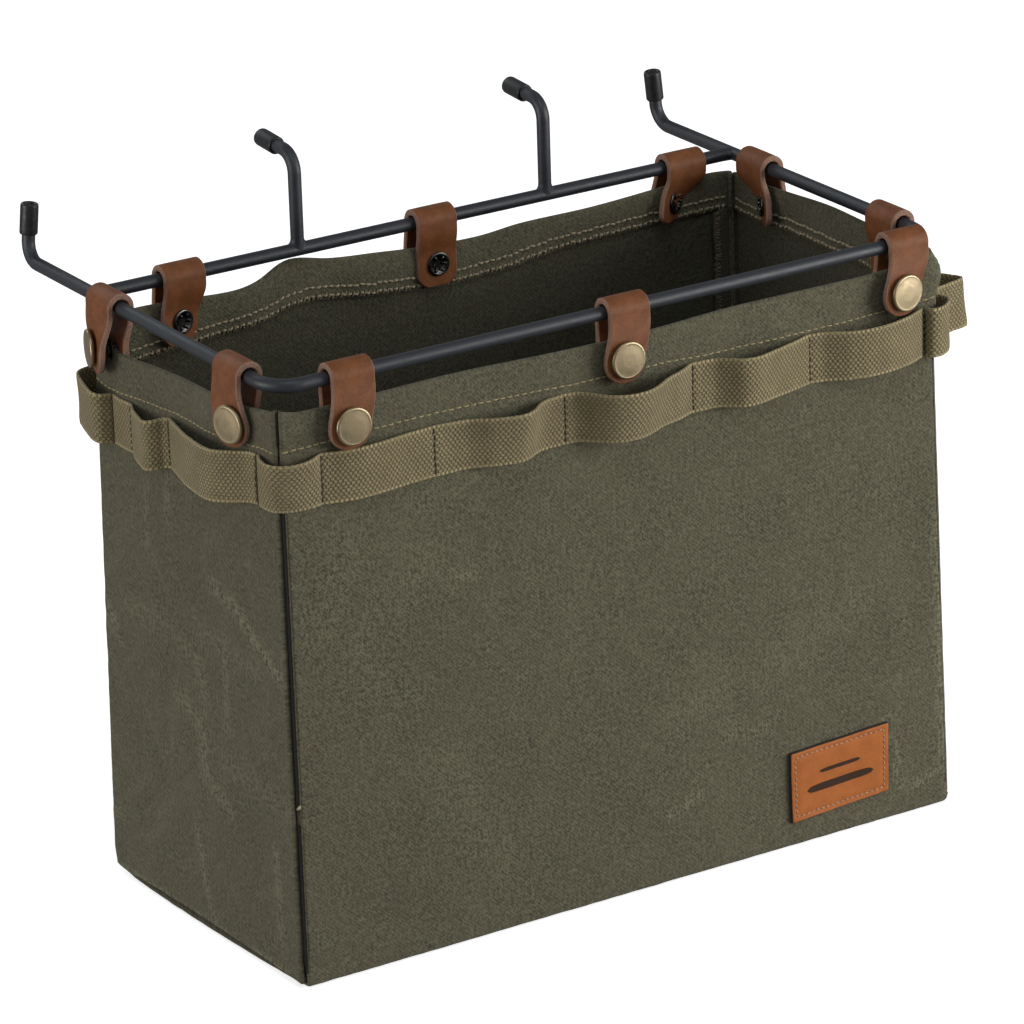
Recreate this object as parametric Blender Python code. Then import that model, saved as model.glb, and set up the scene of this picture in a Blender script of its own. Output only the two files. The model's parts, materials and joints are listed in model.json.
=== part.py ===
"""Canvas storage bag hung from a bent-rod rail frame by leather snap straps.

Metres, +Z up.  The origin is the centre of the bag's underside; the front is -Y and
the rail hooks point to +Y.  Every sub-part is one named object.  Each strap flap, and
the snap cap on it, hangs from an empty that lies on the flap's hinge axis.
"""
import math

import bmesh
import bpy
from mathutils import Matrix, Vector

MM = 0.001
GAP = 0.3 * MM                      # clearance between pieces that touch
SHARP_ANGLE = math.radians(40.0)    # edges sharper than this stay crisp

# Rod frame: sizes on the rod's centreline.
ROD_R = 2.65 * MM
FRAME_HALF_W = 147.0 * MM
FRAME_HALF_D = 68.0 * MM
FRAME_Z = 237.0 * MM
FRONT_BEND_R = 12.0 * MM
HOOK_BEND_R = 8.0 * MM
SIDE_OVERHANG = 53.7 * MM           # side rods behind the crossbar
SIDE_TIP_RISE = 19.5 * MM           # up-turned tip, without its end cap
SIDE_TIP_LEAN = 2.0 * MM
TOP_HOOK_X = 57.1 * MM
TOP_HOOK_RISE = 37.9 * MM
TOP_HOOK_REACH = 22.1 * MM          # backward arm, without its end cap
TOP_HOOK_TIP_RISE = 1.5 * MM
ROD_SIDE_STEPS = 4                  # bevel resolution: 12 sides
ROD_BEND_STEPS = 7

# Push-on end caps of the four rod tips.
CAP_R = 3.6 * MM
CAP_LENGTH = 12.5 * MM
CAP_ROD_DEPTH = 9.5 * MM

# Canvas bag.
BAG_HALF_W = 148.5 * MM
BAG_HALF_D = 69.5 * MM
BAG_TOP = 226.0 * MM
CANVAS_T = 2.0 * MM
BASE_EDGE_R = 6.0 * MM
BASE_EDGE_STEPS = 4

# Webbing band with tool loops.
WEB_TOP = 209.8 * MM
WEB_WIDTH = 20.0 * MM
WEB_T = 1.2 * MM
LOOP_STEPS = 10
# (side, distance along the side in mm, drop below WEB_TOP in mm) of each seam, and the
# bulge of the loop that follows it: (outward mm, apex as a share of the loop).  None is
# a flat stretch.
WEBBING_RUNS = {
    "webbing_front": [
        ("left", -57.2, 0.0, (1.6, 0.5)), ("front", -130.6, 0.0, (3.6, 0.5)),
        ("front", -81.8, 0.0, (7.5, 0.62)), ("front", -24.5, 0.0, (15.0, 0.52)),
        ("front", 33.1, 0.0, (9.6, 0.5)), ("front", 87.4, 0.0, (8.0, 0.5)),
        ("front", 140.3, 0.0, None)],
    "webbing_right": [
        ("front", 141.8, 0.0, (10.5, 0.5)), ("right", -58.5, 0.0, (27.0, 0.24)),
        ("right", 7.3, 0.0, (10.0, 0.4)), ("right", 40.3, 0.0, None), ("right", 52.8, 0.0, None)],
    "webbing_back": [
        ("right", 54.3, 0.0, (8.0, 0.5)), ("back", 140.3, 0.0, (6.0, 0.5)),
        ("back", 87.4, 0.0, (6.5, 0.5)), ("back", 33.1, 0.0, (7.0, 0.5)),
        ("back", -24.5, 0.0, (6.5, 0.5)), ("back", -81.8, 0.0, (5.5, 0.5)),
        ("back", -130.6, 0.0, None)],
    "webbing_left": [
        ("back", -132.1, 4.0, (11.0, 0.5)), ("left", 52.8, 8.0, None),
        ("left", 40.3, 8.0, (10.0, 0.6)), ("left", 7.3, 5.0, (8.0, 0.55)),
        ("left", -55.7, 0.0, None)],
}

# Leather patch on the front wall.
PATCH_SIZE = (46.5 * MM, 28.0 * MM, 1.4 * MM)
PATCH_X = 97.8 * MM
PATCH_Z = 26.0 * MM
PATCH_TILT = math.radians(2.6)
PATCH_CORNER_R = 1.5 * MM

# Leather straps.  Across a strap, "out" is the distance from the rod's centreline
# towards the outside of the bag; down a strap, heights are measured from the rod.
STRAP_W = 18.0 * MM
STRAP_T = 2.4 * MM
LOOP_MID_R = 4.55 * MM              # rod centre to the middle of the leather
LOOP_ARC_STEPS = 10
STRAP_LENGTH = 26.8 * MM            # rod centre to the strap's lower end
SNAP_DROP = 17.5 * MM
INNER_LEG_OUT = -2.0 * MM
FLAP_LEG_OUT = 5.9 * MM
HINGE_OUT = 4.6 * MM
HINGE_DROP = 2.8 * MM
INNER_END_R = 6.0 * MM
FLAP_END_R = 8.2 * MM
SNAP_HOLE_R = 2.3 * MM
SNAP_HOLE_DEPTH = 20.0 * MM         # through the flap, the canvas and the inner leg
SNAP_STEPS = 16
STUD_STEPS = 12
# name: (x mm, y mm, turn about Z in degrees that points the strap outwards)
STRAPS = {
    "strap_front_left": (-118.5, -68.0, 180.0),
    "strap_front_middle": (1.5, -68.0, 180.0),
    "strap_front_right": (128.0, -68.0, 180.0),
    "strap_back_left": (-110.0, 68.0, 0.0),
    "strap_back_middle": (3.5, 68.0, 0.0),
    "strap_back_right": (119.5, 68.0, 0.0),
    "strap_left_front": (-147.0, -41.0, 90.0),
    "strap_left_back": (-147.0, 52.0, 90.0),
    "strap_right_front": (147.0, -41.0, -90.0),
    "strap_right_back": (147.0, 48.0, -90.0),
}


def clear_scene():
    for obj in list(bpy.data.objects):
        bpy.data.objects.remove(obj, do_unlink=True)


def make_material(name, color, roughness, metallic=0.0):
    material = bpy.data.materials.new(name)
    material.use_nodes = True
    shader = material.node_tree.nodes["Principled BSDF"]
    shader.inputs["Base Color"].default_value = (*color, 1.0)
    shader.inputs["Roughness"].default_value = roughness
    shader.inputs["Metallic"].default_value = metallic
    return material


def add_object(name, data, material):
    """Link a new object; its material is its own copy of the given one."""
    obj = bpy.data.objects.new(name, data)
    bpy.context.scene.collection.objects.link(obj)
    own = material.copy()
    own.name = name + "_material"
    obj.data.materials.append(own)
    return obj


def mesh_object(name, bm, material):
    bmesh.ops.recalc_face_normals(bm, faces=bm.faces)
    mesh = bpy.data.meshes.new(name)
    bm.to_mesh(mesh)
    bm.free()
    mesh.shade_smooth()
    mesh.set_sharp_from_angle(angle=SHARP_ANGLE)
    return add_object(name, mesh, material)


def box_bmesh(low, high):
    bm = bmesh.new()
    size = [b - a for a, b in zip(low, high)]
    centre = [(a + b) / 2 for a, b in zip(low, high)]
    bmesh.ops.create_cube(bm, size=1.0)
    bmesh.ops.scale(bm, vec=size, verts=bm.verts)
    bmesh.ops.translate(bm, vec=centre, verts=bm.verts)
    return bm


def bent_path(corners, radii):
    """Points of a bent rod: straight runs between corners, each rounded by its radius."""
    points = [Vector(corners[0])]
    for before, corner, after, radius in zip(corners, corners[1:], corners[2:], radii):
        corner = Vector(corner)
        back = (Vector(before) - corner).normalized()
        ahead = (Vector(after) - corner).normalized()
        half = back.angle(ahead) / 2
        setback = radius / math.tan(half)
        centre = corner + (back + ahead).normalized() * (radius / math.sin(half))
        start = corner + back * setback - centre
        axis = start.cross(corner + ahead * setback - centre).normalized()
        turn = math.pi - 2 * half
        for k in range(ROD_BEND_STEPS + 1):
            points.append(centre + Matrix.Rotation(turn * k / ROD_BEND_STEPS, 3, axis) @ start)
    points.append(Vector(corners[-1]))
    return points


def rod_object(name, points, material):
    curve = bpy.data.curves.new(name, "CURVE")
    curve.dimensions = "3D"
    curve.bevel_depth = ROD_R
    curve.bevel_resolution = ROD_SIDE_STEPS
    curve.use_fill_caps = True
    spline = curve.splines.new("POLY")
    spline.points.add(len(points) - 1)
    for place, point in zip(spline.points, points):
        place.co = (*point, 1.0)
    return add_object(name, curve, material)


def lathe_bmesh(profile, steps):
    """Turn (radius, height) points about Z; the profile starts and ends on the axis."""
    bm = bmesh.new()
    rings = []
    for radius, height in profile:
        if radius == 0.0:
            rings.append([bm.verts.new((0.0, 0.0, height))])
            continue
        angles = [2 * math.pi * k / steps for k in range(steps)]
        rings.append([bm.verts.new((radius * math.cos(a), radius * math.sin(a), height))
                      for a in angles])
    for lower, upper in zip(rings, rings[1:]):
        for k in range(steps):
            n = (k + 1) % steps
            corners = [lower[k % len(lower)], lower[n % len(lower)],
                       upper[n % len(upper)], upper[k % len(upper)]]
            bm.faces.new(list(dict.fromkeys(corners)))
    return bm


def axis_matrix(point, direction):
    """Places a piece turned about Z so that its axis runs along a direction."""
    return Matrix.Translation(point) @ Vector(direction).to_track_quat("Z", "Y").to_matrix().to_4x4()


def end_cap(name, rod_end, direction, material):
    """Push-on sleeve, open towards the rod, with a recessed closed end."""
    bore = ROD_R + GAP
    profile = [(0.0, CAP_LENGTH - 1.2 * MM), (2.1 * MM, CAP_LENGTH - 1.2 * MM),
               (2.4 * MM, CAP_LENGTH), (CAP_R - 0.4 * MM, CAP_LENGTH),
               (CAP_R, CAP_LENGTH - 0.5 * MM), (CAP_R, 0.3 * MM), (CAP_R - 0.2 * MM, 0.0),
               (bore, 0.0), (bore, CAP_ROD_DEPTH + GAP), (0.0, CAP_ROD_DEPTH + GAP)]
    cap = mesh_object(name, lathe_bmesh(profile, SNAP_STEPS), material)
    direction = Vector(direction).normalized()
    cap.matrix_world = axis_matrix(Vector(rod_end) - direction * CAP_ROD_DEPTH, direction)


def build_frame(steel, rubber):
    """U-shaped rod with side tips, crossbar between its sides, two hooks on the crossbar."""
    tip_y = FRAME_HALF_D + SIDE_OVERHANG
    left_tip = (-FRAME_HALF_W + SIDE_TIP_LEAN, tip_y, FRAME_Z + SIDE_TIP_RISE)
    left_foot = (-FRAME_HALF_W, tip_y, FRAME_Z)
    right_foot = (FRAME_HALF_W, tip_y, FRAME_Z)
    right_tip = (FRAME_HALF_W - SIDE_TIP_LEAN, tip_y, FRAME_Z + SIDE_TIP_RISE)
    corners = [left_tip, left_foot, (-FRAME_HALF_W, -FRAME_HALF_D, FRAME_Z),
               (FRAME_HALF_W, -FRAME_HALF_D, FRAME_Z), right_foot, right_tip]
    radii = [HOOK_BEND_R, FRONT_BEND_R, FRONT_BEND_R, HOOK_BEND_R]
    rod_object("frame_rod", bent_path(corners, radii), steel)
    end_cap("tip_cap_side_left", left_tip, Vector(left_tip) - Vector(left_foot), rubber)
    end_cap("tip_cap_side_right", right_tip, Vector(right_tip) - Vector(right_foot), rubber)

    bar_end = FRAME_HALF_W - ROD_R - GAP
    rod_object("back_crossbar", [Vector((-bar_end, FRAME_HALF_D, FRAME_Z)),
                                 Vector((bar_end, FRAME_HALF_D, FRAME_Z))], steel)
    for side, x in (("left", -TOP_HOOK_X), ("right", TOP_HOOK_X)):
        bend = Vector((x, FRAME_HALF_D, FRAME_Z + TOP_HOOK_RISE))
        tip = bend + Vector((0.0, TOP_HOOK_REACH, TOP_HOOK_TIP_RISE))
        foot = Vector((x, FRAME_HALF_D, FRAME_Z + ROD_R + GAP))
        rod_object("top_hook_" + side, bent_path([foot, bend, tip], [HOOK_BEND_R]), steel)
        end_cap("tip_cap_top_" + side, tip, tip - bend, rubber)


def snap_cutters():
    """Guide cylinders along each snap's axis, hidden, that cut the snap's holes."""
    cutters = {}
    for name, (x, y, turn) in STRAPS.items():
        bm = bmesh.new()
        bmesh.ops.create_cone(bm, cap_ends=True, segments=STUD_STEPS, radius1=SNAP_HOLE_R,
                              radius2=SNAP_HOLE_R, depth=SNAP_HOLE_DEPTH)
        mesh = bpy.data.meshes.new("cut_" + name)
        bm.to_mesh(mesh)
        bm.free()
        cutter = bpy.data.objects.new("cut_" + name, mesh)
        bpy.context.scene.collection.objects.link(cutter)
        place = Matrix.Translation((x * MM, y * MM, FRAME_Z - SNAP_DROP))
        cutter.matrix_world = (place @ Matrix.Rotation(math.radians(turn), 4, "Z")
                               @ Matrix.Rotation(math.radians(90.0), 4, "X"))
        cutter.hide_render = True
        cutter.display_type = "WIRE"
        cutters[name] = cutter
    return cutters


def cut_with(obj, cutter):
    hole = obj.modifiers.new("snap_hole", "BOOLEAN")
    hole.operation = "DIFFERENCE"
    hole.object = cutter


def base_bend(sign, radius, floor):
    """Quarter round from the base up to the wall on one side, as (y, z) points."""
    bend = []
    for k in range(BASE_EDGE_STEPS + 1):
        angle = math.pi / 2 * k / BASE_EDGE_STEPS
        bend.append((sign * (BAG_HALF_D - BASE_EDGE_R + radius * math.sin(angle)),
                     floor + radius * (1 - math.cos(angle))))
    return bend


def wrap_panel(material, cutters):
    """Front wall, base and back wall in one length of canvas, open to left and right."""
    outline = []
    for sign in (-1, 1):
        wall = sign * BAG_HALF_D
        bend = base_bend(sign, BASE_EDGE_R, 0.0)
        inner = base_bend(sign, BASE_EDGE_R - CANVAS_T, CANVAS_T)
        top = [(wall, BAG_TOP), (wall - sign * CANVAS_T, BAG_TOP)]
        outline.append((bend, top, inner))
    (front_bend, front_top, front_in), (back_bend, back_top, back_in) = outline
    ring = (list(reversed(front_bend)) + back_bend + back_top
            + list(reversed(back_in)) + front_in + list(reversed(front_top)))
    bm = bmesh.new()
    verts = [bm.verts.new((-BAG_HALF_W, y, z)) for y, z in ring]
    face = bm.faces.new(verts)
    grown = bmesh.ops.extrude_face_region(bm, geom=[face])
    moved = [v for v in grown["geom"] if isinstance(v, bmesh.types.BMVert)]
    bmesh.ops.translate(bm, vec=(2 * BAG_HALF_W, 0, 0), verts=moved)
    bmesh.ops.triangulate(bm, faces=[f for f in bm.faces if len(f.verts) > 4])
    panel = mesh_object("canvas_wrap_panel", bm, material)
    for name in STRAPS:
        if name.startswith(("strap_front", "strap_back")):
            cut_with(panel, cutters[name])


def side_panels(material, cutters):
    for side, sign in (("left", -1), ("right", 1)):
        outer = sign * BAG_HALF_W
        inner = sign * (BAG_HALF_W - CANVAS_T)
        reach = BAG_HALF_D - CANVAS_T - GAP
        bm = box_bmesh((min(outer, inner), -reach, CANVAS_T + GAP),
                       (max(outer, inner), reach, BAG_TOP))
        low_edges = [e for e in bm.edges if max(v.co.z for v in e.verts) < BASE_EDGE_R
                     and abs(e.verts[0].co.y - e.verts[1].co.y) < GAP]
        bmesh.ops.bevel(bm, geom=low_edges, offset=BASE_EDGE_R - CANVAS_T,
                        segments=BASE_EDGE_STEPS, affect="EDGES")
        panel = mesh_object("canvas_" + side + "_panel", bm, material)
        for name in STRAPS:
            if name.startswith("strap_" + side):
                cut_with(panel, cutters[name])


def perimeter_place(distance):
    """Point and outward direction on the bag's outline, from the front-left corner."""
    sides = [((-1, -1), (1, 0), 2 * BAG_HALF_W), ((1, -1), (0, 1), 2 * BAG_HALF_D),
             ((1, 1), (-1, 0), 2 * BAG_HALF_W), ((-1, 1), (0, -1), 2 * BAG_HALF_D)]
    distance %= 4 * (BAG_HALF_W + BAG_HALF_D)
    for (cx, cy), (dx, dy), length in sides:
        if distance <= length:
            point = Vector((cx * BAG_HALF_W + dx * distance, cy * BAG_HALF_D + dy * distance))
            return point, Vector((dy, -dx))
        distance -= length
    raise ValueError("distance is past the outline")


def seam_distance(side, place):
    """Distance round the outline of a seam given by its X or Y in millimetres."""
    place *= MM
    width, depth = 2 * BAG_HALF_W, 2 * BAG_HALF_D
    return {"front": place + BAG_HALF_W,
            "right": width + place + BAG_HALF_D,
            "back": width + depth + BAG_HALF_W - place,
            "left": 2 * width + depth + BAG_HALF_D - place}[side]


def spline_through(points, steps):
    """Catmull-Rom curve through the points, in 2-D."""
    ends = [2 * points[0] - points[1]] + points + [2 * points[-1] - points[-2]]
    curve = [points[0]]
    for a, b, c, d in zip(ends, ends[1:], ends[2:], ends[3:]):
        for k in range(1, steps + 1):
            t = k / steps
            curve.append(0.5 * (2 * b + (c - a) * t + (2 * a - 5 * b + 4 * c - d) * t ** 2
                                + (3 * b - a - 3 * c + d) * t ** 3))
    return curve


def corner_loop(first, out_a, last, out_b, lift):
    """Middle line of a loop that wraps a bag corner between seams on its two walls."""
    stand = GAP + WEB_T / 2
    corner = first + (last - first).dot(out_b) * out_b
    shoulder = stand + 0.6 * lift
    back_a = min(0.9 * lift, 0.6 * (corner - first).length)
    back_b = min(0.9 * lift, 0.6 * (corner - last).length)
    return spline_through([
        first + out_a * stand,
        corner + out_a * shoulder - out_b * back_a,
        corner + (out_a + out_b).normalized() * (1.4 * stand + 0.75 * lift),
        corner + out_b * shoulder - out_a * back_b,
        last + out_b * stand], 3)


def loop_points(start, end, bulge):
    """Middle line of the webbing from one seam to the next, as (x, y) points."""
    if end < start:
        end += 4 * (BAG_HALF_W + BAG_HALF_D)
    lift, apex = bulge if bulge else (0.0, 0.5)
    lift *= MM
    first, out_a = perimeter_place(start)
    last, out_b = perimeter_place(end)
    if out_a.dot(out_b) < 0.5:
        return corner_loop(first, out_a, last, out_b, lift)
    power = math.log(0.5) / math.log(apex)
    steps = LOOP_STEPS if bulge else 1
    points = []
    for k in range(steps + 1):
        t = k / steps
        rise = lift * math.sin(math.pi * t ** power)
        points.append(first.lerp(last, t) + out_a * (GAP + WEB_T / 2 + rise))
    return points


def webbing(material):
    """Flat woven tape sewn round the bag; between its seams it stands off in loops."""
    for name, seams in WEBBING_RUNS.items():
        middle, tops = [], []
        for (side_a, at_a, drop_a, bulge), (side_b, at_b, drop_b, _) in zip(seams, seams[1:]):
            span = loop_points(seam_distance(side_a, at_a), seam_distance(side_b, at_b), bulge)
            heights = [WEB_TOP - (drop_a + (drop_b - drop_a) * k / (len(span) - 1)) * MM
                       for k in range(len(span))]
            skip = 1 if middle else 0
            middle += span[skip:]
            tops += heights[skip:]
        bm = bmesh.new()
        loops = []
        for k, (point, top) in enumerate(zip(middle, tops)):
            along = middle[min(k + 1, len(middle) - 1)] - middle[max(k - 1, 0)]
            across = Vector((along.y, -along.x)).normalized() * (WEB_T / 2)
            outer, inner = point + across, point - across
            low = top - WEB_WIDTH
            loops.append([bm.verts.new((p.x, p.y, z)) for p, z in
                          ((outer, low), (outer, top), (inner, top), (inner, low))])
        bm.faces.new(loops[0])
        bm.faces.new(list(reversed(loops[-1])))
        for a, b in zip(loops, loops[1:]):
            for k in range(4):
                bm.faces.new((a[k], a[(k + 1) % 4], b[(k + 1) % 4], b[k]))
        mesh_object(name, bm, material)


def patch(material):
    w, h, t = PATCH_SIZE
    bm = box_bmesh((-w / 2, -t / 2, -h / 2), (w / 2, t / 2, h / 2))
    upright = [e for e in bm.edges if abs(e.verts[0].co.y - e.verts[1].co.y) > t / 2]
    bmesh.ops.bevel(bm, geom=upright, offset=PATCH_CORNER_R, segments=3, affect="EDGES")
    obj = mesh_object("leather_patch", bm, material)
    obj.location = (PATCH_X, -BAG_HALF_D - GAP - t / 2, PATCH_Z)
    obj.rotation_euler = (0.0, -PATCH_TILT, 0.0)


def ease(t):
    t = min(max(t, 0.0), 1.0)
    return t * t * (3 - 2 * t)


def end_half_width(distance, radius):
    """Half width of a strap at a distance from its rounded end."""
    if distance >= radius:
        return STRAP_W / 2
    return STRAP_W / 2 - radius + math.sqrt(radius ** 2 - (radius - distance) ** 2)


def strip_bmesh(stations):
    """Leather strip along stations (out, height, half width), square to its own path."""
    bm = bmesh.new()
    rings = []
    for k, (out, height, half) in enumerate(stations):
        before = stations[max(k - 1, 0)]
        after = stations[min(k + 1, len(stations) - 1)]
        along = Vector((after[0] - before[0], after[1] - before[1])).normalized()
        side = Vector((-along.y, along.x)) * (STRAP_T / 2)
        rings.append([bm.verts.new((x, out + s * side.x, height + s * side.y))
                      for x, s in ((-half, 1), (half, 1), (half, -1), (-half, -1))])
    bm.faces.new(rings[0])
    bm.faces.new(list(reversed(rings[-1])))
    for a, b in zip(rings, rings[1:]):
        for k in range(4):
            bm.faces.new((a[k], a[(k + 1) % 4], b[(k + 1) % 4], b[k]))
    return bm


def loop_stations():
    """Inner leg from its lower end, then over the rod to just above the hinge."""
    stations = []
    for distance in (0.0, 0.8, 2.2, 4.0, 6.0, 10.5, 14.0, 17.0, 20.0, 23.0):
        height = -STRAP_LENGTH + distance * MM
        blend = ease((height + 15.0 * MM) / (12.0 * MM))
        out = INNER_LEG_OUT + (-LOOP_MID_R - INNER_LEG_OUT) * blend
        stations.append((out, height, end_half_width(distance * MM, INNER_END_R)))
    for k in range(LOOP_ARC_STEPS + 1):
        angle = math.pi * (1 - k / LOOP_ARC_STEPS)
        stations.append((LOOP_MID_R * math.cos(angle), LOOP_MID_R * math.sin(angle), STRAP_W / 2))
    stations.append((LOOP_MID_R, -HINGE_DROP + STRAP_T / 2 + GAP, STRAP_W / 2))
    return stations


def flap_stations():
    """Outer leg below the hinge, measured from the hinge; its top end is rounded."""
    stations = []
    for distance in (0.0, 0.7, 2.0, 4.0, 6.0, 8.2, 12.0, 15.0, 18.0, 21.0, 23.0):
        height = -STRAP_LENGTH + HINGE_DROP + distance * MM
        blend = ease((height + 12.0 * MM) / (10.0 * MM))
        out = (FLAP_LEG_OUT - HINGE_OUT) * (1 - blend)
        stations.append((out, height, end_half_width(distance * MM, FLAP_END_R)))
    return stations


def flap_bmesh():
    """Flap strip whose top end is a half round about the hinge axis."""
    bm = strip_bmesh(flap_stations())
    top = [f for f in bm.faces if all(v.co.z > -1.6 * MM for v in f.verts)]
    grown = bmesh.ops.extrude_discrete_faces(bm, faces=top)
    lid = grown["faces"][0]
    for vert in lid.verts:
        vert.co.y *= 0.86
        vert.co.z = 0.6 * MM
    grown = bmesh.ops.extrude_discrete_faces(bm, faces=[lid])
    for vert in grown["faces"][0].verts:
        vert.co.y *= 0.45
        vert.co.z = 1.1 * MM
    return bm


def cap_profile():
    """Domed cap outside the leather, barrel through it and socket behind it."""
    points = [(0.0, 9.6), (6.0, 9.4), (7.5, 8.5), (7.0, 7.4), (2.0, 7.4), (2.0, 4.4),
              (5.2, 4.4), (5.5, 2.6), (2.9, 2.6), (2.9, 4.0), (0.0, 4.0)]
    return [(r * MM, h * MM) for r, h in points]


def stud_profile():
    """Stud outside the canvas, post through canvas and leather, rolled rim inside."""
    points = [(0.0, 3.6), (1.9, 3.6), (2.4, 3.1), (1.9, 2.3), (4.7, 2.3), (4.7, 1.8),
              (2.0, 1.8), (2.0, -3.5), (5.0, -3.6), (4.6, -4.4), (2.9, -4.4), (2.4, -3.9),
              (0.0, -3.9)]
    return [(r * MM, h * MM) for r, h in points]


def build_straps(leather, brass, gunmetal, cutters):
    """Each strap: fixed loop with the inner leg, hinged flap, snap cap and stud."""
    outward = Matrix.Rotation(math.radians(-90.0), 4, "X")      # lathe axis to local +Y
    for name, (x, y, turn) in STRAPS.items():
        place = Matrix.Translation((x * MM, y * MM, FRAME_Z)) @ Matrix.Rotation(
            math.radians(turn), 4, "Z")
        loop = mesh_object(name + "_loop", strip_bmesh(loop_stations()), leather)
        loop.matrix_world = place
        cut_with(loop, cutters[name])

        axis = bpy.data.objects.new(name + "_hinge_axis", None)
        bpy.context.scene.collection.objects.link(axis)
        axis.matrix_world = place @ Matrix.Translation((0.0, HINGE_OUT, -HINGE_DROP))
        flap = mesh_object(name + "_flap", flap_bmesh(), leather)
        flap.parent = axis
        cut_with(flap, cutters[name])

        cap = mesh_object(name + "_cap", lathe_bmesh(cap_profile(), SNAP_STEPS), brass)
        cap.parent = axis
        cap.matrix_local = Matrix.Translation(
            (0.0, -HINGE_OUT, HINGE_DROP - SNAP_DROP)) @ outward

        stud = mesh_object(name + "_stud", lathe_bmesh(stud_profile(), STUD_STEPS), gunmetal)
        stud.matrix_world = place @ Matrix.Translation((0.0, 0.0, -SNAP_DROP)) @ outward


def main():
    clear_scene()
    steel = make_material("black_steel", (0.016, 0.017, 0.019), 0.42, 0.0)
    rubber = make_material("black_rubber", (0.012, 0.012, 0.013), 0.6)
    canvas = make_material("olive_canvas", (0.105, 0.098, 0.070), 0.95)
    tape = make_material("khaki_webbing", (0.215, 0.178, 0.090), 0.9)
    leather = make_material("brown_leather", (0.230, 0.090, 0.045), 0.6)
    patch_leather = make_material("tan_leather", (0.420, 0.150, 0.055), 0.6)
    brass = make_material("antique_brass", (0.480, 0.370, 0.210), 0.38, 1.0)
    gunmetal = make_material("gunmetal", (0.110, 0.105, 0.100), 0.35, 1.0)
    cutters = snap_cutters()
    build_frame(steel, rubber)
    wrap_panel(canvas, cutters)
    side_panels(canvas, cutters)
    webbing(tape)
    patch(patch_leather)
    build_straps(leather, brass, gunmetal, cutters)


main()
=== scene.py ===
"""Looks of a hanging canvas storage bag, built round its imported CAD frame.

First the camera and the light, then the materials, the rod frame, the canvas bag with its
hem, seams and stitches, the webbing tool loops, the leather patch and the snap straps.
Metres, +Z up; the front is -Y.  Tables of places along the bag's sides are millimetres.
"""
import json
import math
import random

import bmesh
import bpy
from mathutils import Matrix, Vector, noise


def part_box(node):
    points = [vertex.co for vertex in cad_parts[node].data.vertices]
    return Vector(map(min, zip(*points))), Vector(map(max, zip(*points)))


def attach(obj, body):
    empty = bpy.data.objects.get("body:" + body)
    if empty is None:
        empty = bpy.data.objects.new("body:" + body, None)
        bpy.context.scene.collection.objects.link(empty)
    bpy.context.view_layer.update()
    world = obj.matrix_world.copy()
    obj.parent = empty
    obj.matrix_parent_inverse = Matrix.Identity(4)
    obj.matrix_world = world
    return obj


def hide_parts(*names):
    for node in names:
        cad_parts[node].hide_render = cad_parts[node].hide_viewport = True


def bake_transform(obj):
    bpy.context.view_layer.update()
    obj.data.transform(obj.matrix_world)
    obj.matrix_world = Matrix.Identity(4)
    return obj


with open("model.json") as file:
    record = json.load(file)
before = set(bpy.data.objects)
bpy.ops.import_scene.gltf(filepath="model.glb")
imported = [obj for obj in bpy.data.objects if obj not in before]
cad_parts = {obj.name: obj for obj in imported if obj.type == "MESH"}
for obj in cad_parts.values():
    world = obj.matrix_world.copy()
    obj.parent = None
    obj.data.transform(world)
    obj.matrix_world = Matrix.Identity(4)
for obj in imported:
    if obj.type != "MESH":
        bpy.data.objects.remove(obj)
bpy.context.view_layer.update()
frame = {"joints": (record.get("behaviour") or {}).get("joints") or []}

MM = 0.001
BODY = "bag_and_frame"
UP = Vector((0.0, 0.0, 1.0))

# ---------------------------------------------------------------- sizes from the frame
CANVAS_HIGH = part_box("canvas_wrap_panel")[1]
HALF_W, HALF_D = CANVAS_HIGH.x, CANVAS_HIGH.y
BAR_LOW, BAR_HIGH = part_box("back_crossbar")
ROD_R = (BAR_HIGH.z - BAR_LOW.z) / 2
BAR_Y, ROD_Z = (BAR_LOW.y + BAR_HIGH.y) / 2, (BAR_LOW.z + BAR_HIGH.z) / 2
ROD_LOW, ROD_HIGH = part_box("frame_rod")
ROD_X = ROD_HIGH.x - ROD_R

CLOTH_T = 0.95 * MM                 # one layer of canvas; the hem is two
HEM_FOLD_R = 0.52 * MM              # middle of the cloth in the hem's fold
BASE_R = 1.9 * MM                   # rounding between base and walls
SLACK_BASE_R = 13.0 * MM            # the same at the slack back-left corner
BASE_ROLL = 2.8 * MM                # how far the base's rolled edge stands out on the left
WEB_WIDTH = 20.0 * MM
WEB_T = 1.2 * MM
STRAP_W = 18.0 * MM
STRAP_T = 2.4 * MM
LOOP_R = 4.55 * MM                  # rod centre to the middle of the leather
STRAP_LENGTH = 26.8 * MM
SNAP_DROP = 17.5 * MM
HINGE_OUT = 4.6 * MM                # hinge axis from the rod centre, outwards and down
HINGE_DROP = 2.8 * MM
LOOP_END_R, FLAP_END_R = 6.0 * MM, 8.2 * MM    # rounding of a strap's two lower ends
BEND_TOP, BEND_FOOT = 0.3 * MM, 8.0 * MM       # where a flap starts and stops bending

# ---------------------------------------------------------------- camera, floor, light
CAMERA_AZIMUTH, CAMERA_ELEVATION, CAMERA_ROLL = -31.84, 20.82, -1.78
CAMERA_DISTANCE, CAMERA_FIELD = 2.2519, 10.154
CAMERA_AIM = Vector((0.0, 0.0, 0.12))
CAMERA_ASIDE, CAMERA_ABOVE = -0.0049, 0.0145
LIGHT_AIM = Vector((0.0, 0.0, 0.14))


def frame_matrix(place, x_axis, y_axis, z_axis):
    turn = Matrix((x_axis, y_axis, z_axis)).transposed()
    return Matrix.Translation(place) @ turn.to_4x4()


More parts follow.
